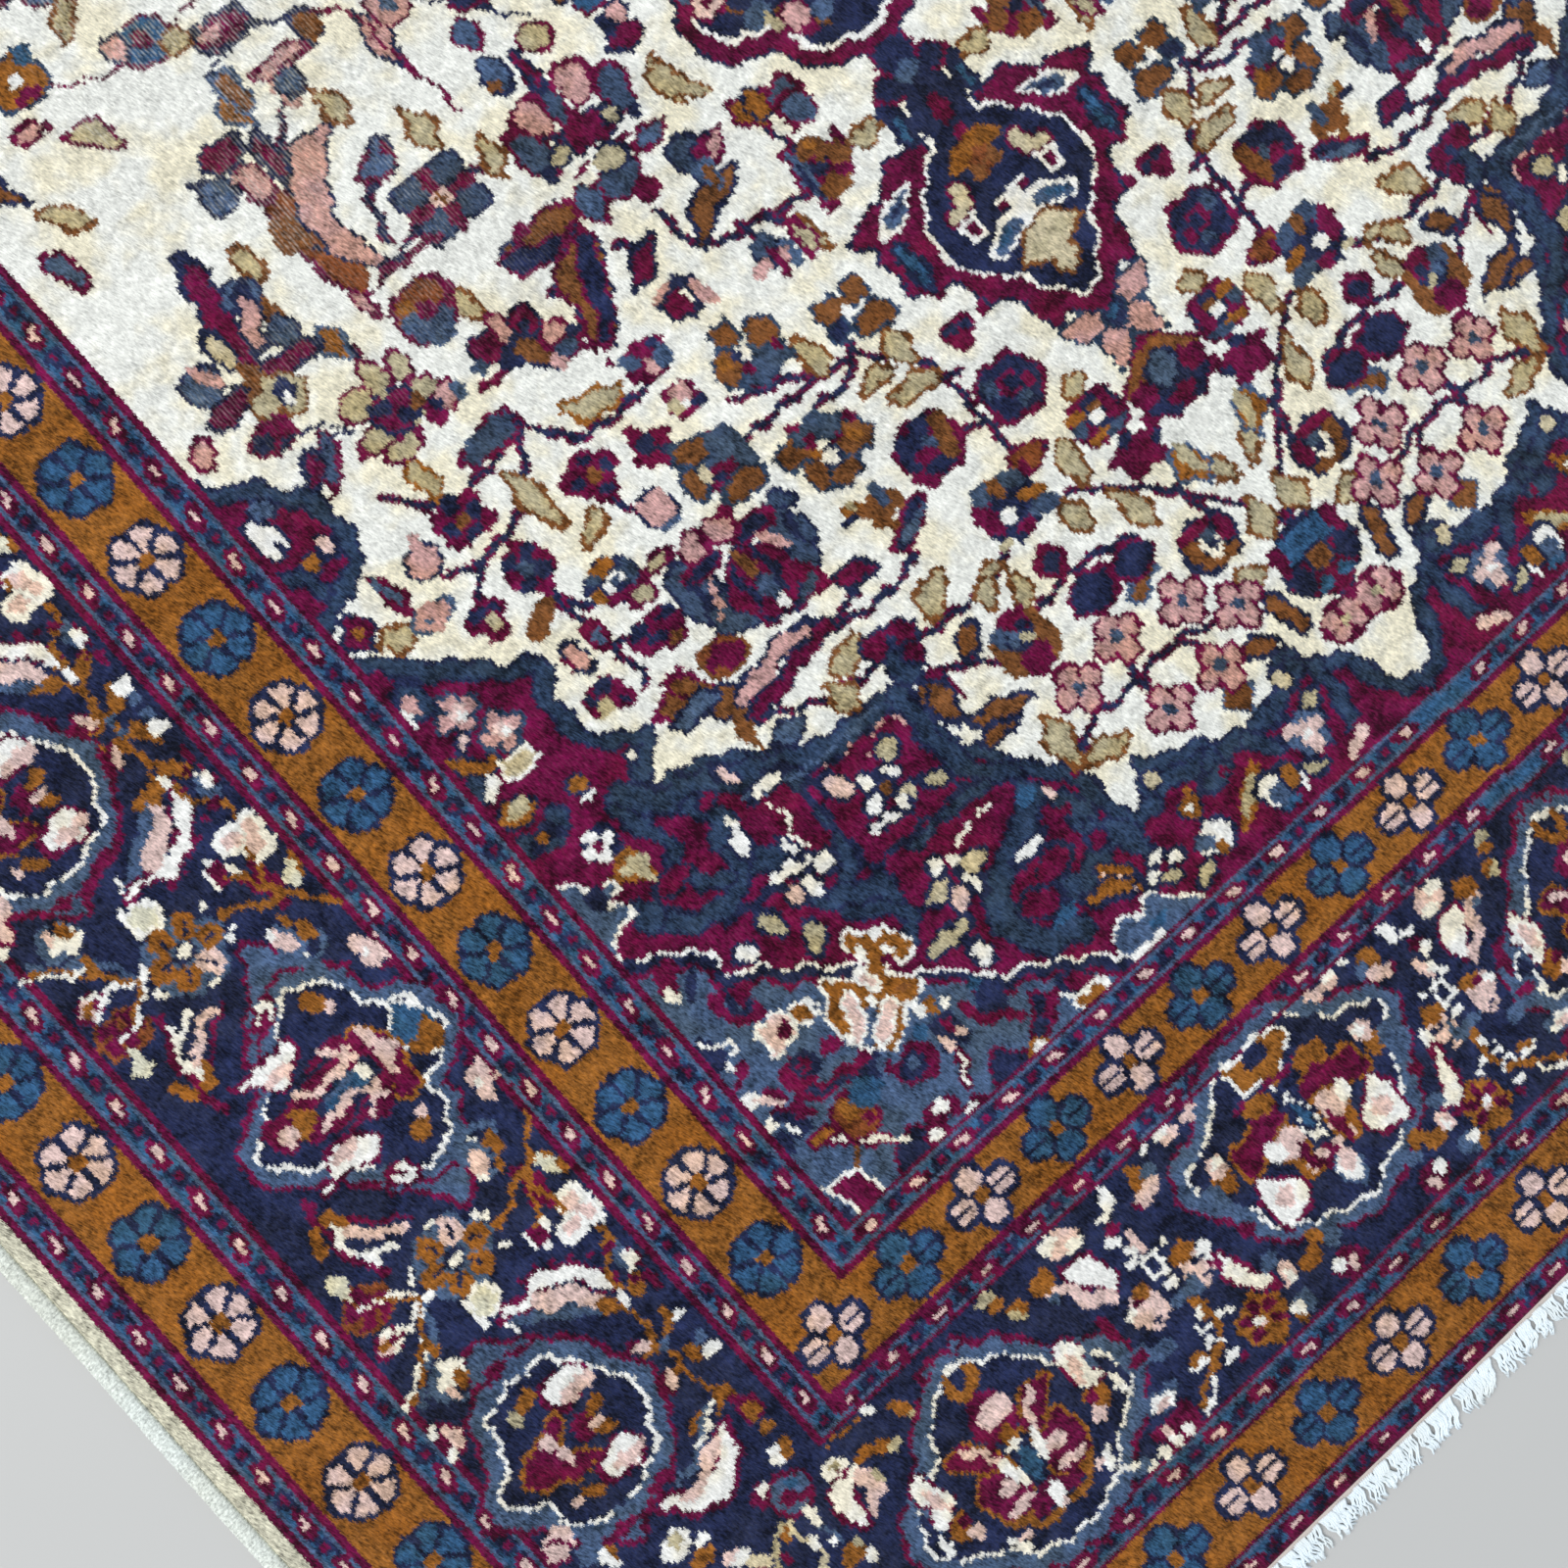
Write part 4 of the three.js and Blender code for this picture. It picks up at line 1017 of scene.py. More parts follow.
flower(547, 797, (ROSE, 5, 9), (CRIMSON, -8, 0, 2, 8), rim=NAVY)
flower(512, 914, (ROSE, 10, 10), (ROSE, 4, 13, 4, 10, -20), rim=NAVY)
flower(492, 881, (ROSE, 12, 6), (ROSE, 0, 0, 6, 12), (STEEL, -4, -2, 3, 3), rim=STEEL)
flower(657, 840, (ROSE, 10, 12), (ROSE, -8, 6, 4, 6), (ROSE, 8, 6, 4, 6), (STEEL, 0, -13, 8, 3), rim=NAVY)
flower(609, 802, (KHAKI, 8, 5), (CRIMSON, -8, -3, 3, 4), (CRIMSON, 6, 6, 4, 3), rim=CRIMSON)
flower(
    722, 888, (CRIMSON, 13, 12), (ROSE, 2, 4, 6, 7), (KHAKI, -8, -2, 5, 6), (NAVY, 8, -8, 7, 4),
    (WHITE, 0, -5, 3, 2),
)
flower(
    722, 924, (CRIMSON, 18, 14), (DUSK, -11, 6, 7, 6), (STEEL, 8, -4, 9, 9), (ROSE, -1, -5, 4, 7),
    (NAVY, 8, 8, 7, 4), (CRIMSON, 2, 5, 5, 5),
)
flower(
    768, 942, (NAVY, 17, 15), (CRIMSON, -3, -2, 10, 9), (ROSE, -9, 11, 10, 3, 14),
    (ROSE, 15, -6, 5, 12, 20), (WHITE, 5, -2, 2, 7), (CRIMSON, -2, -8, 7, 4),
)
flower(
    838, 926, (NAVY, 12, 10), (DUSK, 0, 8, 9, 8), (ROSE, -12, -5, 8, 5), (STEEL, 12, -8, 6, 12),
    (CRIMSON, 2, -8, 4, 13), (ROSE, 8, -6, 3, 6),
)
flower(904, 800, (CRIMSON, 14, 9), (CRIMSON, -2, -8, 8, 7), (NAVY, -5, 3, 7, 4), (NAVY, 8, 0, 4, 4))
flower(
    907, 745, (CRIMSON, 26, 24), (NAVY, 0, 0, 23, 21), (CRIMSON, 0, 2, 10, 9), (NAVY, 2, 2, 6, 6),
    (DUSK, -14, 8, 6, 7), (DUSK, 2, -12, 6, 5), (CRIMSON, 13, -4, 4, 6),
)
flower(
    832, 750, (CRIMSON, 26, 24), (NAVY, -10, 5, 13, 14), (NAVY, 6, 16, 10, 6), (NAVY, 0, -14, 12, 6),
    (DUSK, 2, 2, 7, 6), (CRIMSON, -6, -3, 7, 5), (BROWN, 16, 6, 7, 14, -20), (BROWN, 12, -10, 6, 8),
)
flower(
    945, 650, (CRIMSON, 14, 13), (CRIMSON, -14, 6, 8, 5, 20), (CRIMSON, 16, 6, 9, 5, -20),
    (CRIMSON, -6, -10, 9, 6), (CRIMSON, 12, -10, 8, 6), (NAVY, 0, 12, 6, 6), (CRIMSON, 22, 10, 4, 6),
    (CRIMSON, 4, 1, 9, 8), (NAVY, 20, 0, 5, 5),
)

# Gold and blue ones
flower(
    600, 823, (NAVY, 19, 16), (GOLD, -1, 10, 10, 6), (GOLD, -14, -4, 4, 6), (DUSK, 11, -3, 8, 9),
    (DUSK, -10, 8, 5, 5), (WHITE, 0, -3, 8, 6), (DUSK, 1, -2, 4, 3), (CRIMSON, -2, -13, 12, 4),
    (NAVY, 3, -8, 5, 3),
)
flower(
    712, 840, (CRIMSON, 20, 20), (BROWN, -10, 16, 13, 8, -14, SLATE), (DUSK, 11, 6, 13, 13),
    (DUSK, 16, -10, 8, 10), (BROWN, 3, -25, 15, 8, 0, SLATE), (BROWN, -24, -4, 6, 10, 0, SLATE),
    (CREAM, -13, -3, 5, 7), (NAVY, -6, -10, 5, 4), (STEEL, 12, 4, 5, 6), (DUSK, -6, 2, 4, 4),
)
for dye, a, b, rx, ry in (
    (BROWN, 773, 902, 9, 9), (BROWN, 763, 880, 11, 14), (BROWN, 796, 888, 10, 12), (DUSK, 784, 869, 17, 8),
    (BROWN, 842, 869, 10, 9), (BROWN, 866, 870, 9, 9), (NAVY, 838, 852, 7, 6), (BROWN, 865, 846, 14, 9),
    (BROWN, 756, 808, 12, 10), (DUSK, 776, 814, 12, 8), (DUSK, 789, 806, 8, 7), (BROWN, 796, 791, 13, 10),
    (BROWN, 760, 785, 9, 11), (BROWN, 776, 775, 10, 7),
):
    knot(oval(rx, ry), dye, (a, b), 0, SLATE, 2.6, 1.5)
dabs(
    (CRIMSON, 771, 874, 5, 4), (CRIMSON, 799, 876, 3, 5), (NAVY, 773, 887, 6, 6), (DUSK, 783, 880, 5, 8),
    (WHITE, 777, 884, 4, 5), (BROWN, 852, 866, 5, 5), (WHITE, 852, 858, 4, 5), (NAVY, 842, 858, 3, 4),
    (CRIMSON, 767, 822, 6, 3), (CRIMSON, 770, 806, 4, 5), (CRIMSON, 803, 806, 4, 7),
    (CRIMSON, 788, 797, 6, 3), (WHITE, 774, 791, 6, 6, 0, NAVY), (GOLD, 768, 798, 4, 5),
    (GOLD, 798, 792, 6, 5), (GOLD, 760, 886, 5, 5),
)
flower(
    776, 741, (BROWN, 10, 10), (GOLD, -16, 10, 9, 6, -30), (BROWN, -8, 2, 12, 4, -30), (DUSK, 8, 3, 7, 7),
    (DUSK, 6, 12, 4, 6), (BROWN, 14, -2, 5, 9), (BROWN, -4, -12, 9, 4, -40), (KHAKI, -14, 14, 4, 3),
    (NAVY, -22, 6, 8, 3),
)
flower(
    848, 682, (NAVY, 24, 22), (CRIMSON, -18, 2, 9, 14), (DUSK, -10, 18, 8, 8), (DUSK, 14, 14, 11, 7, -20),
    (BROWN, 1, 16, 5, 8), (GOLD, 20, -3, 12, 5, -10), (DUSK, 22, -16, 12, 6), (CRIMSON, 0, -20, 10, 6),
    (NAVY, -8, -24, 5, 4), (WHITE, -4, -6, 6, 6), (KHAKI, -20, -20, 6, 3), (CRIMSON, 28, 14, 4, 6),
)
flower(
    941, 688, (CRIMSON, 22, 19), (NAVY, 6, 4, 15, 13), (CRIMSON, 12, 3, 5, 12), (GOLD, -14, 9, 8, 5),
    (DUSK, -16, 0, 6, 6), (GOLD, -8, -12, 9, 4), (DUSK, 8, -13, 11, 4), (WHITE, 0, 1, 6, 6),
    (BROWN, 2, 8, 6, 3),
)
flower(
    943, 567, (NAVY, 24, 20), (CRIMSON, -4, 14, 15, 5), (BROWN, -12, 1, 7, 10), (BROWN, 2, -13, 16, 5),
    (CRIMSON, 16, 2, 6, 11), (WHITE, 2, -1, 8, 10), (NAVY, 3, 0, 5, 6), (DUSK, 3, 5, 5, 5),
)
flower(
    793, 602, (CRIMSON, 17, 26), (BROWN, -15, 0, 9, 18), (BROWN, 16, -4, 8, 20), (DUSK, -12, 12, 7, 8),
    (NAVY, 0, 4, 12, 9), (STEEL, -4, 6, 7, 5), (KHAKI, 4, 2, 5, 4), (CRIMSON, 6, 16, 9, 9),
    (CRIMSON, 0, -14, 13, 9), (NAVY, 6, 10, 4, 5),
)
flower(603, 952, (DUSK, 20, 8))
flower(
    912, 948, (CRIMSON, 20, 16), (STEEL, -17, 2, 5, 22, 0, CRIMSON), (BROWN, -2, 18, 11, 8),
    (BROWN, 13, 3, 10, 9), (BROWN, -4, -14, 12, 9), (NAVY, -5, 3, 7, 6), (NAVY, -18, 0, 2, 14),
    (CRIMSON, 20, 14, 3, 8), (BROWN, 4, 10, 8, 5), (GOLD, -1, 19, 5, 4), (CRIMSON, 6, -8, 6, 5),
)

# The large palmette with rose buds on its top
dabs(
    (DUSK, 640, 776, 15, 22, 0, NAVY), (DUSK, 652, 752, 18, 15, -30, NAVY),
    (DUSK, 716, 772, 16, 20, 0, NAVY), (DUSK, 708, 750, 18, 15, 30, NAVY),
    (DUSK, 680, 734, 22, 8, 0, CRIMSON), (CRIMSON, 679, 762, 26, 27, 0, NAVY),
    (NAVY, 657, 789, 12, 6, 0, CRIMSON), (NAVY, 697, 789, 13, 6, 0, CRIMSON), (NAVY, 667, 764, 4, 20),
    (NAVY, 690, 762, 4, 22), (BROWN, 678, 774, 5, 13), (NAVY, 678, 758, 4, 6),
    (ROSE, 648, 770, 4, 15, -24), (ROSE, 705, 772, 4, 14, 36), (CRIMSON, 660, 752, 5, 12),
    (CRIMSON, 703, 750, 5, 12), (WHITE, 682, 736, 4, 5), (ROSE, 656, 803, 9, 8, 20, CRIMSON),
    (ROSE, 677, 804, 9, 7, -30, CRIMSON), (CRIMSON, 666, 800, 3, 7), (CRIMSON, 690, 810, 5, 4),
    (NAVY, 640, 774, 4, 14), (NAVY, 720, 770, 4, 12), (DUSK, 680, 748, 7, 9),
)
# Six small rose flowers with blue hearts
for a, b in ((801, 552), (846, 560), (900, 549), (842, 497), (890, 495), (930, 520)):
    for k, place in around(a, b, 4, 10, 9.5, 0.1):
        knot(oval(8.6, 7.2), ROSE, place, 90 * k, CRIMSON, 3)
    for k, place in around(a, b, 4, 9, 8.5, 0.1):
        knot(oval(6.4, 4.4), ROSE, place, 90 * k)
    dabs((DUSK, a, b, 4.4, 5.4))
flower(
    984, 460, (CRIMSON, 20, 16), (ROSE, -9, 5, 7, 6), (ROSE, 9, 5, 7, 6), (ROSE, -8, -6, 7, 5),
    (ROSE, 9, -6, 6, 5), (KHAKI, 0, 0, 4, 4),
)
# On the spandrel's point
dabs(
    (CRIMSON, 710, 668, 12, 10, 0, NAVY), (CRIMSON, 730, 666, 11, 11, 0, NAVY),
    (SLATE, 716, 648, 12, 12, 0, NAVY), (CRIMSON, 730, 648, 8, 7, 0, NAVY),
    (CRIMSON, 728, 628, 6, 6, 0, NAVY), (NAVY, 720, 662, 3, 6),
)
leaves((BROWN, NAVY, 721, 590, 38, 16, 2), (CRIMSON, None, 732, 596, 22, 6, -10))

# Palmettes and leaves further up the field
dabs(
    (CRIMSON, 516, 1122, 9, 42, -10, NAVY), (BROWN, 546, 1108, 7, 18, 0),
    (STEEL, 538, 1132, 12, 12, 0, NAVY), (DUSK, 544, 1098, 9, 11, 0, NAVY),
    (ROSE, 530, 1110, 6, 19, -24, NAVY), (CREAM, 503, 1108, 6, 13, 0, NAVY),
    (STEEL, 478, 1096, 12, 12, 0, NAVY), (ROSE, 484, 1102, 5, 13, 20),
    (CRIMSON, 480, 1075, 16, 7, 14, NAVY), (CRIMSON, 535, 1077, 22, 7, -6, NAVY),
    (BROWN, 508, 1082, 8, 12), (KHAKI, 517, 1060, 18, 15, 0, BROWN), (BROWN, 506, 1052, 5, 6),
    (NAVY, 518, 1059, 7, 11), (WHITE, 518, 1058, 3, 6), (KHAKI, 512, 1076, 4, 5),
    (CRIMSON, 486, 1043, 13, 9, 0, CRIMSON), (NAVY, 482, 1044, 8, 6), (NAVY, 494, 1034, 4, 4),
    (ROSE, 448, 1062, 6, 9, -30, CRIMSON),
)
vine(NAVY, 3, (496, 1034), (510, 1034), (522, 1028), (532, 1020))
vine(NAVY, 3, (506, 1014), (520, 1018), (534, 1014))
flower(
    566, 1006, (KHAKI, 16, 18), (KHAKI, -16, 18, 12, 10, 0, CRIMSON), (KHAKI, 4, 26, 7, 12, 0, CRIMSON),
    (KHAKI, 22, 22, 6, 10, 0, CRIMSON), (KHAKI, -20, -8, 14, 7, 0, CRIMSON),
    (KHAKI, 24, -2, 10, 9, 0, CRIMSON), (KHAKI, -12, -24, 12, 6, 0, CRIMSON),
    (CRIMSON, 0, 0, 15, 13, 0, NAVY), (NAVY, -6, 6, 9, 5), (NAVY, 6, -8, 8, 6), (BROWN, 16, -4, 5, 6),
    (ROSE, 33, -14, 9, 7, 20, CRIMSON), (STEEL, 42, -16, 5, 8), (CRIMSON, 20, -20, 7, 8),
    (NAVY, 24, -14, 4, 6), (KHAKI, 2, 16, 3, 6),
)
flower(
    628, 1046, (CRIMSON, 22, 14), (RUST, 0, 8, 19, 12, 0, CRIMSON), (DUSK, -3, -10, 16, 10, 0, CRIMSON),
    (STEEL, -2, -20, 10, 6), (CRIMSON, 0, 0, 7, 7), (STEEL, -14, 0, 7, 6), (GOLD, -10, 10, 5, 5),
    (CRIMSON, 22, 2, 5, 5),
)
flower(
    662, 984, (NAVY, 22, 8), (CRIMSON, -20, 16, 11, 10, 0, NAVY), (ROSE, -4, 20, 5, 10, 0, CRIMSON),
    (CRIMSON, 12, 14, 9, 10, 0, NAVY), (NAVY, 10, 12, 4, 5), (BROWN, 4, -6, 8, 15, 30, NAVY),
    (ROSE, 22, -4, 9, 6, 20, CRIMSON), (DUSK, 24, -18, 9, 6, 0, CRIMSON), (NAVY, 34, -12, 6, 5),
    (ROSE, 12, -22, 5, 6), (DUSK, -32, 8, 6, 5), (CRIMSON, -32, -4, 12, 4),
)
leaves((RUST, CRIMSON, 602, 1082, 96, 30, 4, 5), (NAVY, None, 600, 1110, 40, 5, 4))
dabs((BROWN, 590, 1146, 13, 16, 20), (RUST, 606, 1098, 10, 12), (ROSE, 598, 1078, 4, 9, 10, CRIMSON))
blot(
    ROSE, NAVY, (620, 1092), (607, 1118), (606, 1150), (618, 1176), (640, 1190), (659, 1184), (642, 1167),
    (624, 1142), (621, 1120), (629, 1098),
)
flower(
    687, 1099, (CRIMSON, 20, 18), (DUSK, -15, 15, 12, 9, 0, NAVY), (DUSK, 15, 15, 11, 9, 0, NAVY),
    (DUSK, -14, -15, 12, 9, 0, NAVY), (DUSK, 15, -14, 11, 9, 0, NAVY), (CRIMSON, 0, 16, 5, 12),
    (CRIMSON, 0, -16, 5, 12), (CRIMSON, -20, 0, 8, 5), (CRIMSON, 20, 0, 8, 5), (BLUSH, 0, 0, 7, 6),
    (BROWN, 0, 1, 3, 5),
)
vine(CRIMSON, 6, (618, 1084), (640, 1082), (668, 1082))
dabs(
    (STEEL, 670, 1144, 12, 8, 0, CRIMSON), (STEEL, 660, 1228, 9, 9, 0, NAVY),
    (ROSE, 662, 1241, 17, 4, 0, CRIMSON), (BROWN, 627, 1238, 6, 13, 0, STEEL),
    (CRIMSON, 590, 1214, 15, 9, 0, NAVY), (STEEL, 572, 1196, 12, 12, 0, NAVY),
    (ROSE, 597, 1190, 9, 14, 0, CRIMSON), (CRIMSON, 616, 1198, 6, 15, 0, NAVY),
    (CRIMSON, 644, 1281, 17, 9, 0, NAVY), (ROSE, 644, 1284, 9, 5), (BROWN, 696, 1246, 8, 11, 0, NAVY),
    (ROSE, 727, 1216, 7, 20, 0, NAVY), (STEEL, 776, 1180, 8, 11, 0, CRIMSON),
)
vine(NAVY, 3, (620, 1264), (644, 1270), (670, 1268), (690, 1260))
vine(CRIMSON, 4, (706, 1254), (724, 1238), (728, 1196), (734, 1170), (736, 1140))
blot(
    NAVY, CRIMSON, (702, 950), (722, 962), (736, 985), (748, 1018), (738, 1024), (722, 1010), (714, 990),
    (708, 970),
)
blot(
    BROWN, CRIMSON, (704, 958), (716, 974), (720, 996), (736, 1020), (722, 1014), (706, 1000), (712, 984),
    (704, 970),
)
blot(
    NAVY, CRIMSON, (690, 1038), (694, 1024), (716, 1020), (744, 1026), (748, 1040), (734, 1034),
    (712, 1042),
)
dabs((BROWN, 724, 1040, 20, 7, -6, CRIMSON), (CRIMSON, 712, 1048, 6, 5))
blot(
    KHAKI, BROWN, (856, 1076), (866, 1078), (872, 1062), (882, 1042), (872, 1046), (862, 1052),
    (854, 1062),
)
dabs(
    (CRIMSON, 794, 1072, 24, 9, 0, NAVY), (CRIMSON, 792, 1084, 10, 9),
    (ROSE, 773, 1099, 10, 12, 20, CRIMSON), (ROSE, 810, 1101, 10, 13, -20, CRIMSON),
    (DUSK, 790, 1106, 5, 20, 0, CRIMSON), (CRIMSON, 792, 1136, 4, 14, 0, NAVY),
    (DUSK, 757, 1078, 9, 18, 10, CRIMSON), (DUSK, 830, 1078, 9, 17, -10, CRIMSON),
    (KHAKI, 770, 1071, 7, 6, 0, NAVY), (KHAKI, 816, 1072, 6, 6, 0, NAVY), (NAVY, 756, 1064, 5, 7),
    (NAVY, 832, 1064, 5, 6), (DUSK, 794, 1032, 18, 11, 0, CRIMSON), (KHAKI, 792, 1048, 11, 7, 0, NAVY),
    (CRIMSON, 802, 1014, 7, 7, 0, CRIMSON), (STEEL, 764, 1036, 9, 13, 0, CRIMSON),
    (STEEL, 832, 1044, 12, 6, 10, CRIMSON), (CRIMSON, 776, 1054, 7, 3, 20),
    (CRIMSON, 812, 1054, 7, 3, -20), (CRIMSON, 793, 1067, 4, 5), (DUSK, 840, 1012, 11, 12, 0, NAVY),
    (CRIMSON, 850, 1012, 5, 14, -40, NAVY), (ROSE, 862, 1012, 3.6, 11, -50, CRIMSON),
    (BROWN, 843, 993, 4, 8, 0, STEEL), (GOLD, 903, 1012, 9, 10, 0, NAVY),
    (DUSK, 917, 1003, 12, 10, 20, CRIMSON), (STEEL, 925, 990, 9, 12, 30, CRIMSON),
    (CRIMSON, 912, 1018, 4, 5), (CRIMSON, 866, 1108, 13, 9, 0, NAVY), (ROSE, 868, 1124, 7, 7, 0, NAVY),
    (NAVY, 856, 1120, 4, 10), (STEEL, 772, 1147, 9, 14, 0, NAVY), (BROWN, 766, 1136, 6, 4),
    (KHAKI, 808, 1148, 10, 8, -30, CRIMSON),
)

# On the field's long axis: a rose flower and a gold-topped palmette below the pendant
leaves(
    (ROSE, SLATE, 996, 737, 36, 22, 74),
    (ROSE, SLATE, 998, 732, 34, 24, 146),
)
dabs((NAVY, 1000, 736, 9, 9, 0, SLATE), (BLUE, 1000, 736, 4, 4))
dabs(
    (NAVY, 1000, 668, 32, 16, 0, CRIMSON), (BROWN, 984, 689, 20, 8, 20, CRIMSON),
    (CRIMSON, 975, 676, 10, 9), (STEEL, 1000, 678, 9, 11, 0, NAVY), (CRIMSON, 1000, 660, 12, 5),
    (CRIMSON, 1000, 508, 33, 30, 0, NAVY), (BLUE, 986, 524, 15, 10, 0, NAVY),
    (BROWN, 1000, 506, 9, 9, 0, NAVY), (NAVY, 978, 502, 10, 12), (CRIMSON, 974, 520, 6, 10),
    (CRIMSON, 1000, 484, 14, 8), (BLUE, 990, 488, 6, 6),
)

# The pendant hangs from the medallion's tip by a cross
blot(
    CRIMSON, NAVY, (1000, 742), (982, 758), (962, 757), (956, 780), (948, 794), (934, 799), (932, 820),
    (910, 836), (897, 840), (896, 882), (884, 893), (908, 903), (926, 907), (942, 921), (972, 921),
    (982, 908), (1018, 908), (1028, 921), (1116, 893), (1104, 840), (1068, 800), (1038, 757),
)
blot(
    NAVY, WHITE, (1000, 763), (984, 777), (972, 790), (965, 803), (951, 813), (943, 825), (935, 840),
    (935, 860), (943, 878), (957, 892), (973, 904), (981, 914), (983, 944), (1017, 944), (1019, 914),
    (1065, 860), (1057, 825), (1035, 803), rim_width=2.9,
)
dabs(
    (NAVY, 911, 860, 10, 22, 0, CRIMSON), (BLUE, 911, 860, 4, 17), (CRIMSON, 929, 800, 5, 6),
    (STEEL, 930, 894, 16, 6, 26, WHITE), (NAVY, 929, 893, 9, 2, 26), (CRIMSON, 1000, 924, 3, 22),
    (NAVY, 972, 934, 7, 16, 0, NAVY), (BLUE, 971, 934, 3, 12), (NAVY, 986, 962, 20, 9, 0, CRIMSON),
    (NAVY, 1000, 974, 12, 12, 0, CRIMSON), (NAVY, 1000, 950, 10, 9), (STEEL, 1000, 962, 7, 7),
    (NAVY, 978, 962, 5, 6),
)
dabs(
    (RUST, 1000, 886, 14, 15), (GOLD, 984, 890, 10, 7, 20), (BROWN, 992, 878, 7, 7),
    (GOLD, 1000, 896, 7, 6), (NAVY, 986, 880, 3, 3),
)
blot(
    CREAM, CRIMSON, (950, 860), (954, 866), (964, 868), (966, 880), (974, 880), (976, 866), (972, 860),
    (962, 858), rim_width=2.6,
)
knot(block(8, 9), WHITE, (962, 847))
knot(block(4.5, 5.5), CRIMSON, (962, 847))
dabs(
    (WHITE, 998, 850, 10, 4), (WHITE, 1000, 842, 5, 6), (CRIMSON, 988, 846, 4, 3), (WHITE, 982, 838, 7, 3),
    (STEEL, 974, 826, 15, 6, 16, WHITE), (BLUE, 978, 828, 8, 3, 16),
    (NAVY, 962, 834, 7, 3),
)
blot(
    CREAM, BROWN, (972, 803), (984, 810), (990, 820), (1010, 822), (1028, 803), (1008, 798), (1006, 782),
    (994, 782), (990, 797), rim_width=3.2,
)
dabs((KHAKI, 994, 806, 12, 6), (CREAM, 1000, 800, 5, 10))

# The medallion: a crimson edge and a white line round a navy ground. A quarter of its outline is turned over
quarter = [
    (1000, 990), (962, 1002), (948, 1012), (938, 1036), (908, 1046), (893, 1080), (904, 1112), (884, 1146),
    (848, 1162), (822, 1196), (822, 1238), (786, 1258), (756, 1296), (760, 1342), (722, 1366), (700, 1410),
    (712, 1454), (676, 1500),
]
half = quarter + [(a, 2 * MIDDLE_ALONG - b) for a, b in reversed(quarter[:-1])]
medallion, middle = drawn(half + [(2 * MIDDLE_ACROSS - a, b) for a, b in reversed(half[1:-1])])
knot(medallion, CRIMSON, middle, rim=NAVY)
for depth, dye in ((12, WHITE), (16, NAVY), (66, STEEL), (71, WHITE), (74, CRIMSON)):
    knot(inset(medallion, depth), dye, middle)

# Flowers and leaves on the medallion's navy ground
vine(
    BROWN, 3, (984, 1022), (962, 1052), (930, 1078), (934, 1120), (914, 1160), (876, 1186), (858, 1222),
    (838, 1258), (804, 1288), (790, 1330), (776, 1372), (744, 1402), (738, 1450), (716, 1490),
)
flower(
    966, 1044, (ROSE, 9, 8), (STEEL, 18, -8, 8, 7), (STEEL, -22, 16, 12, 8, 20), (CRIMSON, 2, -14, 7, 5),
    rim=CRIMSON,
)
flower(
    922, 1090, (BLUSH, 10, 9), (CRIMSON, 0, 0, 4, 4), (GOLD, 14, 8, 6, 6), (STEEL, -8, 14, 6, 6),
    rim=CRIMSON,
)
flower(
    930, 1136, (GOLD, 11, 10), (WHITE, 0, 0, 4, 4), (CRIMSON, -14, 10, 7, 5), (STEEL, 14, 8, 6, 8),
    rim=CRIMSON,
)
flower(
    894, 1176, (CRIMSON, 14, 12), (ROSE, -6, 4, 5, 6), (ROSE, 7, 4, 5, 6), (WHITE, 0, -5, 4, 4),
    (BLUE, 16, 10, 6, 6), rim=WHITE,
)
flower(
    856, 1206, (STEEL, 11, 10), (GOLD, 0, 0, 5, 5), (ROSE, 12, 14, 6, 6), (KHAKI, -12, 10, 6, 6),
    rim=WHITE,
)
flower(
    854, 1256, (ROSE, 12, 11), (WHITE, 0, 0, 4, 5), (BLUE, -15, 4, 7, 6), (GOLD, 12, 10, 6, 6),
    rim=CRIMSON,
)
flower(
    808, 1296, (CRIMSON, 15, 13), (GOLD, 0, 2, 7, 7), (BLUSH, 16, 10, 7, 6), (STEEL, -14, 12, 7, 6),
    rim=WHITE,
)
flower(
    798, 1342, (BLUE, 10, 11), (BLUSH, 0, 0, 4, 5), (CRIMSON, 12, 12, 7, 6), (KHAKI, -12, 12, 7, 6),
    rim=WHITE,
)
flower(
    756, 1394, (GOLD, 13, 12), (WHITE, 0, 0, 5, 5), (ROSE, 14, -8, 6, 7), (BLUE, 14, 12, 6, 6),
    rim=CRIMSON,
)
flower(
    748, 1446, (ROSE, 11, 12), (CRIMSON, 0, 0, 5, 5), (STEEL, -10, 14, 6, 6), (KHAKI, 12, 12, 6, 6),
    rim=WHITE,
)
flower(722, 1500, (CRIMSON, 15, 17), (BLUSH, 0, 0, 7, 9, 0, NAVY), (GOLD, 18, 0, 6, 9), rim=WHITE)
leaves(
    (KHAKI, None, 948, 1062, 22, 9, 200, 2), (STEEL, None, 938, 1112, 22, 9, 100, 2),
    (BLUSH, None, 908, 1152, 20, 9, 160, -2), (GOLD, None, 872, 1190, 20, 8, 70, 2),
    (WHITE, None, 848, 1236, 20, 8, 130, 2), (STEEL, None, 826, 1274, 22, 9, 60, -2),
    (BLUSH, None, 792, 1316, 20, 8, 110, 2), (GOLD, None, 782, 1364, 20, 9, 60, -2),
    (STEEL, None, 746, 1420, 22, 9, 100, 2), (WHITE, None, 738, 1470, 18, 8, 70, 2),
)

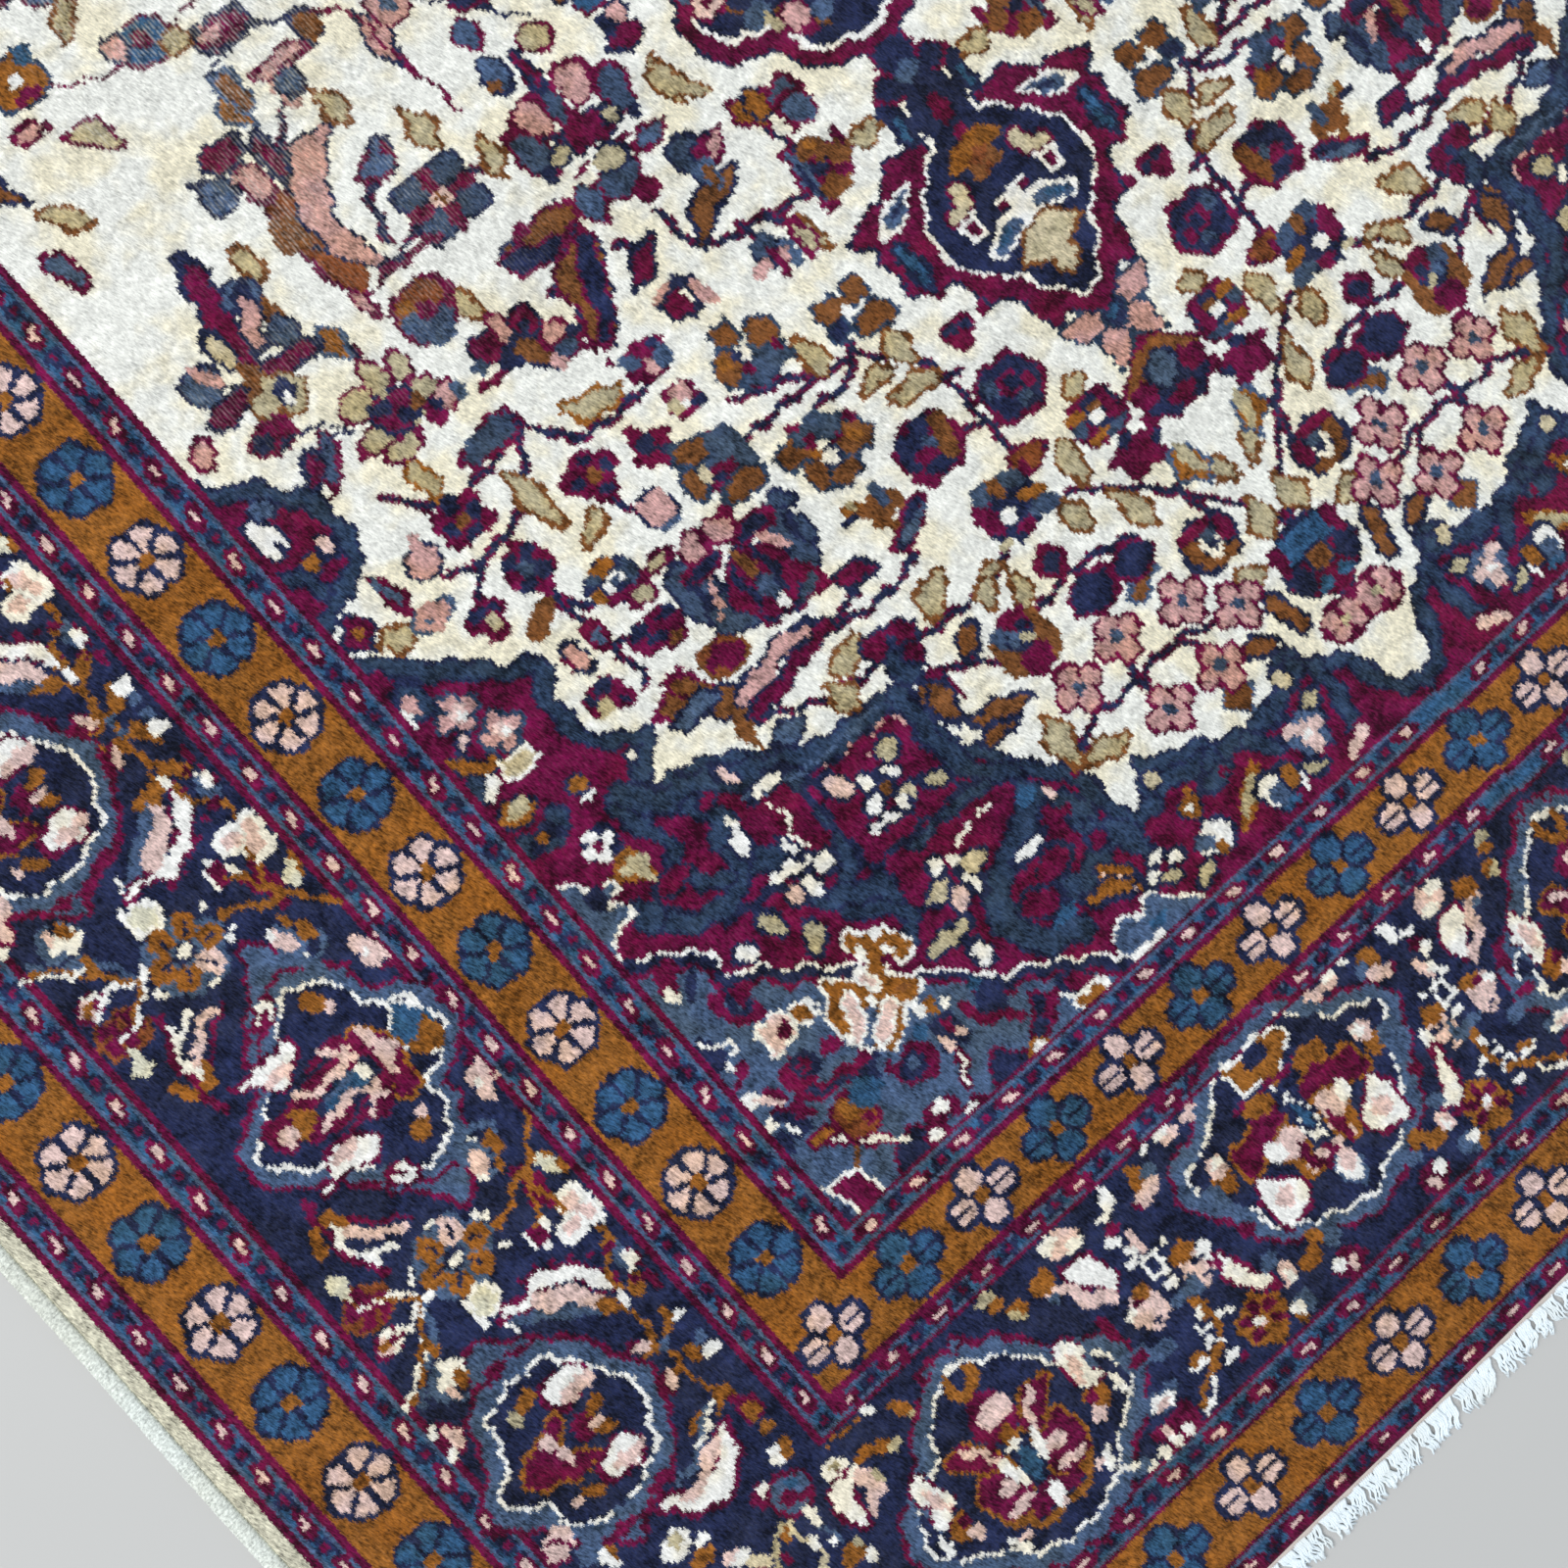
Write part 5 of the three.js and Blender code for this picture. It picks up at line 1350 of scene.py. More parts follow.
# Palmettes and vines on its crimson ground, and a rosette in the middle
for points in (
    ((1000, 1096), (978, 1130), (960, 1180), (932, 1220), (918, 1270), (884, 1310), (862, 1360),
     (834, 1400), (806, 1450), (800, 1500)),
    ((932, 1220), (960, 1244), (972, 1290), (950, 1330), (918, 1350)),
    ((862, 1360), (894, 1384), (906, 1430), (880, 1466)), ((960, 1180), (984, 1200), (1000, 1204)),
):
    vine(NAVY, 3, *points)
flower(
    1000, 1122, (NAVY, 22, 18), (GOLD, 0, 8, 16, 7), (ROSE, 0, -5, 7, 8), (BLUE, -14, -6, 5, 7),
    (WHITE, 0, 9, 4, 4), rim=WHITE,
)
flower(
    1000, 1186, (STEEL, 26, 20), (WHITE, 0, 4, 12, 10, 0, NAVY), (CRIMSON, 0, 2, 5, 6),
    (GOLD, -18, -4, 5, 8), rim=NAVY,
)
flower(
    1000, 1262, (GOLD, 24, 24), (NAVY, 0, 0, 13, 13, 0, WHITE), (ROSE, 0, 0, 6, 6), (BLUSH, -26, 14, 8, 7),
    rim=NAVY,
)
flower(
    950, 1226, (BLUSH, 12, 11), (BLUE, 0, 0, 5, 5), (GOLD, -16, -2, 6, 6), (KHAKI, 14, 10, 6, 6), rim=NAVY,
)
flower(
    918, 1290, (NAVY, 17, 15), (ROSE, 0, 3, 8, 7), (GOLD, 0, -8, 6, 4), (STEEL, -18, 10, 7, 6),
    (BLUSH, 18, 8, 6, 6), rim=WHITE,
)
flower(
    958, 1340, (STEEL, 14, 14), (BLUSH, 0, 0, 6, 6), (KHAKI, 16, 10, 7, 6), (GOLD, -16, -8, 6, 6),
    rim=NAVY,
)
flower(
    876, 1344, (GOLD, 14, 13), (WHITE, 0, 0, 5, 5), (BLUE, 14, -10, 6, 6), (ROSE, -14, 10, 7, 6), rim=NAVY,
)
flower(
    838, 1394, (BLUSH, 13, 12), (CRIMSON, 0, 0, 5, 5), (STEEL, -14, 8, 6, 7), (GOLD, 14, -10, 6, 6),
    rim=NAVY,
)
flower(
    898, 1418, (NAVY, 18, 17), (BLUE, 0, 0, 11, 10), (BLUSH, 0, 0, 5, 5), (KHAKI, 18, 14, 7, 7), rim=WHITE,
)
flower(
    812, 1456, (STEEL, 14, 15), (WHITE, 0, 0, 5, 6), (ROSE, 12, 16, 6, 6), (GOLD, -10, 16, 6, 6), rim=NAVY,
)
flower(
    846, 1500, (GOLD, 20, 20), (NAVY, 0, 0, 11, 11, 0, WHITE), (ROSE, 0, 0, 5, 5), (STEEL, -28, 0, 8, 9),
    rim=NAVY,
)
leaves(
    (KHAKI, NAVY, 966, 1150, 30, 12, 60, 3), (BLUSH, NAVY, 940, 1196, 26, 11, 80, -3),
    (WHITE, NAVY, 976, 1236, 24, 10, -40, 2), (STEEL, NAVY, 900, 1250, 30, 12, 150, 3),
    (KHAKI, NAVY, 934, 1310, 24, 10, -70, -2), (BLUSH, NAVY, 866, 1312, 26, 11, 90, 3),
    (WHITE, NAVY, 852, 1366, 22, 10, 80, 2), (STEEL, NAVY, 870, 1400, 26, 11, 160, -3),
    (KHAKI, NAVY, 832, 1430, 24, 10, 100, 2), (BLUSH, NAVY, 936, 1380, 26, 11, 170, 2),
    (STEEL, NAVY, 870, 1470, 24, 10, 30, 2),
)
for far, near, dye, rim in ((118, 96, CRIMSON, NAVY), (108, 88, IVORY, WHITE), (96, 80, NAVY, BROWN)):
    knot(petals(12, far, near, 0, 0.9), dye, (1000, 1500), 0, rim, 3)
for k, place in around(1000, 1500, 12, 66, 66, 0.26):
    knot(oval(15, 11), (ROSE, BLUSH)[k % 2], place, 30 * k + 15, CRIMSON)
for k, place in around(1000, 1500, 12, 64, 64, 0.26):
    knot(oval(7, 4), (CRIMSON, BLUE)[k % 2], place, 30 * k + 15)
bloom(1000, 1500, 8, 44, 34, GOLD, STEEL, WHITE, NAVY)
dabs((CRIMSON, 1000, 1500, 10, 10, 0, WHITE), (NAVY, 1000, 1500, 4, 4))

# The field beside the medallion
vine(NAVY, 3, (470, 1500), (500, 1460), (520, 1420), (560, 1400), (600, 1410), (640, 1440), (660, 1480))
vine(
    CRIMSON, 3, (520, 1420), (500, 1380), (516, 1340), (550, 1310), (600, 1300), (650, 1310), (690, 1340),
    (700, 1370),
)
vine(NAVY, 3, (650, 1310), (700, 1290), (740, 1260), (764, 1220), (790, 1190), (820, 1160))
flower(
    462, 1500, (NAVY, 22, 40), (GOLD, 2, 0, 12, 24, 0, STEEL), (CRIMSON, 4, 0, 6, 12),
    rim=CRIMSON,
)
flower(
    560, 1404, (CRIMSON, 24, 22), (BLUE, 0, 6, 12, 10), (BROWN, 0, -8, 9, 7),
    (KHAKI, 26, 10, 9, 8, 0, CRIMSON), rim=NAVY,
)
flower(
    640, 1440, (ROSE, 15, 14), (NAVY, 0, 0, 6, 6), (STEEL, -18, 6, 7, 8), (BROWN, 16, 12, 7, 7),
    rim=CRIMSON,
)
flower(
    520, 1336, (GOLD, 18, 17), (WHITE, 0, 0, 5, 5), (CRIMSON, 0, -12, 10, 5), (BLUE, 16, 12, 7, 7),
    rim=SLATE,
)
flower(
    604, 1306, (BLUE, 16, 14), (CRIMSON, 0, 2, 7, 7), (ROSE, -18, 8, 7, 8, 0, NAVY),
    (KHAKI, 16, -12, 8, 7, 0, BROWN), rim=CRIMSON,
)
flower(
    690, 1344, (NAVY, 20, 15), (BROWN, 2, 2, 12, 8), (STEEL, -20, 10, 7, 8),
    (ROSE, 12, -16, 8, 6, 0, CRIMSON), rim=CRIMSON,
)
flower(
    652, 1494, (BROWN, 16, 18), (NAVY, 0, 0, 8, 9), (BLUSH, 0, 0, 4, 5), (KHAKI, -20, 0, 8, 9, 0, BROWN),
    rim=CRIMSON,
)
flower(
    560, 1494, (CRIMSON, 20, 22), (ROSE, -8, 0, 7, 10), (BLUE, 9, 0, 7, 12),
    (STEEL, 26, 0, 7, 9, 0, CRIMSON), rim=NAVY,
)
flower(500, 1462, (KHAKI, 13, 12), (CRIMSON, 0, 0, 5, 5), rim=BROWN)
flower(748, 1226, (ROSE, 13, 12), (STEEL, 0, 0, 6, 6), (BROWN, 16, 12, 6, 7), rim=CRIMSON)
flower(798, 1204, (NAVY, 15, 14), (GOLD, 2, 2, 8, 7), (BLUE, -14, 12, 6, 6), rim=CRIMSON)
flower(860, 1146, (BLUE, 10, 9), (BROWN, -12, 12, 8, 6, 0, NAVY), rim=CRIMSON)
leaves(
    (KHAKI, BROWN, 478, 1420, 40, 18, 10, 4), (KHAKI, BROWN, 470, 1330, 38, 18, -10, -4),
    (STEEL, CRIMSON, 600, 1360, 40, 16, 70, 4), (KHAKI, BROWN, 650, 1370, 36, 16, -40, 3),
    (BROWN, NAVY, 470, 1270, 40, 16, 20, -4), (KHAKI, CRIMSON, 546, 1260, 36, 16, 40, 4),
    (STEEL, NAVY, 604, 1456, 34, 14, 110, 3), (KHAKI, BROWN, 680, 1410, 34, 16, 0, 3),
    (BROWN, CRIMSON, 540, 1450, 30, 13, 60, 3), (KHAKI, BROWN, 564, 1340, 30, 14, -30, 3),
    (ROSE, CRIMSON, 476, 1370, 26, 12, -60, 2), (KHAKI, BROWN, 724, 1290, 30, 14, 30, 3),
    (STEEL, CRIMSON, 462, 1200, 34, 14, 10, 3), (KHAKI, BROWN, 494, 1230, 34, 15, 40, 3),
    (ROSE, CRIMSON, 516, 1300, 24, 12, 80, 2),
)

# What is drawn past the field's edge lies under the border
np.copyto(chart, border, where=~inside)

# The whole rug's knots, with the slips between quarters that hand knotting brings
SLIP = 0.8


def turned_over(far_along, far_across, slip):
    """One quarter, whose rows and columns slip by up to twice so many knots."""
    rows, columns = np.meshgrid(np.arange(KNOTS_ALONG), np.arange(KNOTS_ACROSS), indexing="ij")
    drift = slip * (np.sin(rows / 61 + far_along) + np.sin(columns / 47 + 2 * far_across))
    sway = slip * (np.sin(columns / 53 + far_along + 1) + np.sin(rows / 71 + 3 * far_across))
    rows = np.clip(np.rint(rows + drift), 0, KNOTS_ALONG - 1).astype(int)
    columns = np.clip(np.rint(columns + sway), 0, KNOTS_ACROSS - 1).astype(int)
    return chart[rows, columns][::-1 if far_along else 1, ::-1 if far_across else 1]


knots = np.block([
    [turned_over(0, 0, 0.0), turned_over(0, 1, SLIP)],
    [turned_over(1, 0, SLIP), turned_over(1, 1, SLIP)],
])

# The cloth is a sheet of faces four knots wide, with two more lines close to its rim, where the pile leans
# over. Each wave of its edges has a height, a length and a start.
FACE = 4
HALF_WIDTH, HALF_LENGTH = 0.9892, 1.5
PILE_TOP, PILE_UNEVEN, PILE_EDGE = 0.009, 0.0005, 0.0070
RIM_LINES = (0.0, 0.002, 0.006)
SIDE_WAVES = ((0.0011, 1.150, 0.6), (0.0005, 0.420, 2.1))
END_WAVES = ((0.0010, 0.900, 1.3), (0.0004, 0.310, 0.4))


def grid_lines(count, pitch):
    rim = [line / pitch for line in RIM_LINES]
    return np.array(rim + list(range(FACE, count, FACE)) + [count - r for r in reversed(rim)])


def strays(place, waves):
    return sum(high * (1 - np.cos(2 * pi * place / length + start)) for high, length, start in waves)


def on_plan(x, y):
    """Moves a place on a straight-edged rug to its place on the real one, whose edges wander a little."""
    left, right = strays(y, SIDE_WAVES) - HALF_WIDTH, HALF_WIDTH - strays(-y, SIDE_WAVES)
    front, back = strays(x, END_WAVES) - HALF_LENGTH, HALF_LENGTH - strays(-x, END_WAVES)
    moved_x = left + (right - left) * (x / HALF_WIDTH + 1) / 2
    moved_y = front + (back - front) * (y / HALF_LENGTH + 1) / 2
    return moved_x, moved_y


def pile_height(x, y):
    slow = np.cos(2 * pi * x / 0.760) * np.cos(2 * pi * y / 0.980)
    quick = np.cos(2 * pi * (x + y) / 0.350) * np.cos(2 * pi * (x - 0.6 * y) / 0.410)
    return PILE_TOP - PILE_UNEVEN + PILE_UNEVEN * (0.6 * slow + 0.4 * quick)


def mesh_object(name, shaped):
    """Makes an object at the origin from a bmesh, and lets it ride with the rug."""
    mesh = bpy.data.meshes.new(name)
    shaped.to_mesh(mesh)
    shaped.free()
    made = bpy.data.objects.new(name, mesh)
    bpy.context.scene.collection.objects.link(made)
    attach(made, "root")
    return made


def points_of(mesh):
    """The places of a mesh's points, a row for each."""
    places = np.empty(len(mesh.vertices) * 3)
    mesh.vertices.foreach_get("co", places)
    return places.reshape(-1, 3)


def move_points(mesh, x, y, z):
    mesh.vertices.foreach_set("co", np.column_stack([x, y, z]).ravel())
    mesh.shade_smooth()


def carry(mesh, name, domain, values):
    """Keeps three values with each point or face, which the finish reads."""
    held = mesh.attributes.new(name, "FLOAT_VECTOR", domain)
    held.data.foreach_set("vector", np.column_stack(values).astype(np.float32).ravel())


lines_across = grid_lines(2 * KNOTS_ACROSS, PITCH_ACROSS / 1000)
lines_along = grid_lines(2 * KNOTS_ALONG, PITCH_ALONG / 1000)
columns, rows = len(lines_across) - 1, len(lines_along) - 1
sheet = bmesh.new()
bmesh.ops.create_grid(sheet, x_segments=columns, y_segments=rows, size=1)
whole = sheet.verts[:] + sheet.edges[:] + sheet.faces[:]
lower = bmesh.ops.extrude_face_region(sheet, geom=whole, use_keep_orig=True)["geom"]
bmesh.ops.translate(sheet, verts=[v for v in lower if isinstance(v, bmesh.types.BMVert)], vec=(0, 0, -1))
bmesh.ops.recalc_face_normals(sheet, faces=sheet.faces[:])
pile = mesh_object("pile", sheet)
mesh = pile.data

corner = points_of(mesh)
column = np.rint((corner[:, 0] + 1) / 2 * columns).astype(int)
row = np.rint((corner[:, 1] + 1) / 2 * rows).astype(int)
knot_across, knot_along = lines_across[column], lines_along[row]
x, y = on_plan(
    knot_across * PITCH_ACROSS / 1000 - HALF_WIDTH,
    knot_along * PITCH_ALONG / 1000 - HALF_LENGTH,
)
from_rim = np.minimum(np.minimum(column, columns - column), np.minimum(row, rows - row))
full = pile_height(x, y)
height = np.select([from_rim == 0, from_rim == 1], [PILE_EDGE, full - (full - PILE_EDGE) / 4], full)
is_top = corner[:, 2] > -0.5
move_points(mesh, x, y, np.where(is_top, height, 0))

# Each face carries the number of its first knot and, in six numbers of six dyes each, the dyes of its own
# four by four knots and of one more on every side
corners = np.array([face.vertices[:] for face in mesh.polygons])
first_across = knot_across[corners].mean(1) // FACE * FACE
first_across = np.clip(first_across, 0, 2 * KNOTS_ACROSS - FACE).astype(int)
first_along = knot_along[corners].mean(1) // FACE * FACE
first_along = np.clip(first_along, 0, 2 * KNOTS_ALONG - FACE).astype(int)
edged = np.pad(knots, 1, mode="edge")
packed = []
for line in range(FACE + 2):
    number = np.zeros(len(corners))
    for spot in range(FACE + 2):
        number += edged[first_along + line, first_across + spot] * 16.0**spot
    packed.append(number)
carry(mesh, "knot_place", "POINT", (knot_across, knot_along, np.zeros(len(corner))))
carry(mesh, "first_knot", "FACE", (first_across, first_along, np.zeros(len(corners))))
carry(mesh, "dyes_near", "FACE", packed[:3])
carry(mesh, "dyes_far", "FACE", packed[3:])

# A plan of the sheet for the baked finish: the face side takes most of the square, the underside a strip
# above it, and the thin edges lie along the margins. Each is given by its start and its size.
PLAN_ALONG, PLAN_FACE, PLAN_UNDERSIDE = (0.004, 0.992), (0.008, 0.802), (0.826, 0.166)
PLAN_MARGIN, PLAN_EDGE = 0.001, 0.003
plan = mesh.uv_layers.new(name="OFBake")
loop_vertex = np.empty(len(mesh.loops), int)
mesh.loops.foreach_get("vertex_index", loop_vertex)
top_corners = is_top[corners].sum(1)[np.repeat(np.arange(len(corners)), 4)]
u = PLAN_ALONG[0] + PLAN_ALONG[1] * (knot_along[loop_vertex] / (2 * KNOTS_ALONG))
v = knot_across[loop_vertex] / (2 * KNOTS_ACROSS)
face_v, underside_v = (start + size * v for start, size in (PLAN_FACE, PLAN_UNDERSIDE))
edge_v = PLAN_MARGIN + np.where(is_top[loop_vertex], 0, PLAN_EDGE)
edge_v = np.where(u < PLAN_ALONG[0] + PLAN_MARGIN, edge_v, 1 - edge_v)
v = np.select([top_corners == 4, top_corners == 0, top_corners == 2], [face_v, underside_v, edge_v])
plan.data.foreach_set("uv", np.column_stack([u, v]).ravel())


# Wool: what a finish is mixed from
class Reading:
    """A value of a finish that changes over the surface. Sums on it add their nodes."""
    def __init__(self, finish, socket):
        self.finish, self.socket = finish, socket

    def by(self, operation, *others):
        return self.finish.node("ShaderNodeMath", {"operation": operation}, [self, *others])

    def __add__(self, other):
        return self.by("ADD", other)

    def __sub__(self, other):
        return self.by("SUBTRACT", other)

    def __rsub__(self, other):
        return self.finish.node("ShaderNodeMath", {"operation": "SUBTRACT"}, [other, self])

    def __mul__(self, other):
        return self.by("MULTIPLY", other)

    def __truediv__(self, other):
        return self.by("DIVIDE", other)

    __radd__, __rmul__ = __add__, __mul__

    def within(self, low, high):
        return self.by("MAXIMUM", low).by("MINIMUM", high)


class Finish:
    """One material, mixed node by node."""
    def __init__(self, name, **constants):
        self.material = bpy.data.materials.new(name)
        self.material.use_nodes = True
        self.tree = self.material.node_tree
        self.shader = self.tree.nodes["Principled BSDF"]
        self.sets(**constants)

    def sets(self, **values):
        """Sets or links the shader's own sockets."""
        for name, value in values.items():
            socket = self.shader.inputs[name.replace("_", " ")]
            if isinstance(value, Reading):
                self.tree.links.new(value.socket, socket)
            else:
                socket.default_value = value

    def node(self, kind, settings=None, sockets=(), output=0):
        made = self.tree.nodes.new(kind)
        for key, value in (settings or {}).items():
            if key == "stops":
                ramp = made.color_ramp
                while len(ramp.elements) < len(value):
                    ramp.elements.new(1.0)
                for stop, (at, colour) in zip(ramp.elements, value):
                    stop.position, stop.color = at, colour
            elif key == "interpolation":
                made.color_ramp.interpolation = value
            else:
                setattr(made, key, value)
        for key, value in sockets.items() if isinstance(sockets, dict) else enumerate(sockets):
            if isinstance(value, Reading):
                self.tree.links.new(value.socket, made.inputs[key])
            elif value is not None:
                made.inputs[key].default_value = value
        return Reading(self, made.outputs[output])

    def split(self, vector):
        return [self.node("ShaderNodeSeparateXYZ", {}, [vector], part) for part in range(3)]

    def vector(self, x, y, z):
        return self.node("ShaderNodeCombineXYZ", {}, [x, y, z])

    def carried(self, name):
        return self.split(self.node("ShaderNodeAttribute", {"attribute_name": name}, (), "Vector"))

    def noise(self, x, y, z, detail=2.0, rough=0.6):
        sockets = {"Vector": self.vector(x, y, z), "Scale": 1.0, "Detail": detail, "Roughness": rough}
        return self.node("ShaderNodeTexNoise", {}, sockets)

    def chance(self, x, y, z):
        settings = {"noise_dimensions": "3D"}
        return self.node("ShaderNodeTexWhiteNoise", settings, {"Vector": self.vector(x, y, z)})

    def between(self, value, low, high):
        """Rises smoothly from 0 at low to 1 at high."""
        settings = {"interpolation_type": "SMOOTHSTEP"}
        return self.node("ShaderNodeMapRange", settings, [value, low, high, 0.0, 1.0])

    def play(self, *shares):
        """Adds up readings, each by its strength to both sides of its middle of 0.5."""
        total = None
        for reading, strength in shares:
            part = (reading - 0.5) * strength
            total = part if total is None else total + part
        return total

    def mixed(self, share, first, second, blend="MIX"):
        """Mixes two colours."""
        settings = {"data_type": "RGBA", "blend_type": blend, "clamp_factor": True}
        return self.node("ShaderNodeMix", settings, {0: share, 6: first, 7: second}, 2)

    def lit(self, colour, light):
        return self.mixed(1.0, colour, self.vector(light, light, light), "MULTIPLY")

    def raised(self, strength, distance, height):
        sockets = {"Strength": strength, "Distance": distance, "Height": height}
        return self.node("ShaderNodeBump", {}, sockets)


def dye(red, green, blue):
    """A colour as seen, turned into the light it gives back."""
    seen = (red / 255, green / 255, blue / 255)
    return tuple(((c + 0.055) / 1.055) ** 2.4 if c > 0.04045 else c / 12.92 for c in seen) + (1,)


# The dyes' colours, in the order of their names
DYES = [
    dye(234, 233, 225), dye(30, 37, 68), dye(94, 9, 54), dye(138, 86, 33),
    dye(46, 82, 117), dye(68, 87, 117), dye(216, 186, 179), dye(236, 234, 229),
    dye(190, 147, 143), dye(176, 165, 134), dye(114, 71, 38), dye(196, 183, 152),
    dye(43, 60, 86), dye(116, 63, 33), dye(57, 73, 99), dye(210, 206, 184),
]
wool = Finish("pile_wool", Roughness=0.95, Sheen_Weight=0.04, Specular_IOR_Level=0.08)
knot_x, knot_y, _ = wool.carried("knot_place")
start_x, start_y, _ = wool.carried("first_knot")

# Each tuft's fibres lie over its neighbour's, mostly towards the front end, so outlines have teeth along the
# pile. No fibre reaches past the next knot.
REACH = 0.95
combed_x = knot_x + knot_y * 0.3
fibres = wool.noise(combed_x * 2.4, knot_y * 0.5, 0.0)
fuzz = wool.noise(combed_x * 7, knot_y * 1.6, 3.0, 1.0, 0.5)
stray = wool.noise(knot_x * 0.8, knot_y * 0.8, 7.0, 1.0, 0.5)
flick = wool.noise(combed_x * 6, knot_y * 1.4, 17.0, 1.0, 0.5)
tuft_x = knot_x + wool.play((stray, 0.9), (flick, 1.7)).within(-REACH, REACH)
tuft_y = knot_y + wool.play((fibres, 2.0), (fuzz, 2.4)).within(-REACH, REACH)

# The dye of that knot: its line's number is divided down to it, and the remainder by sixteen names its dye
spot_x = (tuft_x - start_x).by("FLOOR") + 1
spot_y = (tuft_y - start_y).by("FLOOR") + 1
number = 0.0
power = 0.0
for count, line in enumerate(wool.carried("dyes_near") + wool.carried("dyes_far")):
    number = spot_y.by("COMPARE", float(count), 0.5).by("MULTIPLY_ADD", line, number)
    power = spot_x.by("COMPARE", float(count), 0.5).by("MULTIPLY_ADD", 16.0**count, power)
shifted = (number / power).by("FLOOR")
digit = shifted - (shifted / 16).by("FLOOR") * 16
stops = [(k / 16, value) for k, value in enumerate(DYES)]
colour = wool.node(
    "ShaderNodeValToRGB", {"interpolation": "CONSTANT", "stops": stops}, [(digit + 0.5) / 16],
)

# Where feet have worn the pile down, the rows of warps show as pale ridges. The wear starts, is full,
# lessens and ends at these knots; elsewhere there is next to none.
WORN_ALONG, WORN_ACROSS = (340.0, 430.0, 480.0, 540.0), (150.0, 170.0, 235.0, 275.0)
WEAR, WEAR_ELSEWHERE = 0.4, 0.012
ridge = (knot_x * (2 * pi)).by("COSINE") * 0.5 + 0.5
worn = wool.between(wool.noise(knot_x * 0.016, knot_y * 0.016, 21.0), 0.38, 0.6)
for place, (start, first, last, stop) in ((knot_y, WORN_ALONG), (knot_x, WORN_ACROSS)):
    worn = worn * wool.between(place, start, first) * wool.between(place, stop, last)
worn = worn * WEAR + WEAR_ELSEWHERE
speck = wool.noise(knot_x * 0.8, knot_y * 0.35, 31.0)
colour = wool.mixed(worn * ridge * wool.between(speck, 0.35, 0.6), colour, dye(206, 205, 199))

# Old wool has yellowed in patches, and less so in the outermost knots beside the selvages, which are greyer
from_middle = (knot_x - float(KNOTS_ACROSS)).by("ABSOLUTE")
margin = wool.between(from_middle, KNOTS_ACROSS - 5.0, KNOTS_ACROSS - 3.5)
old = wool.between(wool.noise(knot_x * 0.05, knot_y * 0.05, 5.0, 3.0), 0.44, 0.62) * (0.9 - margin * 0.8)
colour = wool.mixed(old, colour, (1.0, 0.92, 0.74, 1), "MULTIPLY")
colour = wool.mixed(margin, colour, (0.94, 0.93, 0.92, 1), "MULTIPLY")

# Light and shade among the tufts: fibres, whole tufts, and the uneven dyeing of each batch of wool. Dark
# wool shows more of it than pale wool.
tone = wool.chance(tuft_x.by("FLOOR"), tuft_y.by("FLOOR"), 11.0)
strands = wool.noise(combed_x * 3.4, knot_y * 0.7, 0.0, 2.0, 0.7)
grain = wool.noise(combed_x * 1.5, knot_y * 0.5, 14.0)
patch = wool.noise(knot_x * 0.22, knot_y * 0.22, 9.0)
cloud = wool.noise(knot_x * 0.12, knot_y * 0.12, 27.0)
band = wool.noise(knot_x * 0.006, knot_y * 0.05, 2.0, 2.0, 0.5)
_, green, _ = wool.split(colour)
light = wool.play((grain, 2.6), (strands, 3.0), (tone, 0.5), (patch, 1.8), (band, 0.8))
light = light + (cloud - 0.5) * wool.between(green, 0.12, 0.02) * 2.6
light = (light * (1 - green * 0.8 + margin * 0.15) + 0.96).by("MAXIMUM", 0.25)
wool.sets(Base_Color=wool.lit(colour, light), Normal=wool.raised(0.7, 0.0012, strands + grain))
mesh.materials.append(wool.material)
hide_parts("pile_cloth")

# Selvages: the outermost warps, overcast with off-white wool into one flattened round cord along each long
# side. Each turn of the overcast wool stands as a low slanting ridge.
TURN_PITCH, RINGS_PER_TURN, CORD_SIDES = 0.0026, 3, 12
CORD_WIDE, CORD_HIGH, CORD_GAP = 0.0128, 0.0086, 0.0001
CORD_LEAST, CORD_RIDGE, CORD_UNEVEN, CORD_END = 0.85, 0.12, 0.03, 0.80
RIDGE_ROUND, CORD_SQUARE = 0.6, 0.65


def squared(value):
    """A circle's cosine or sine, for the cord's flattened section."""
    return np.sign(value) * np.abs(value) ** CORD_SQUARE


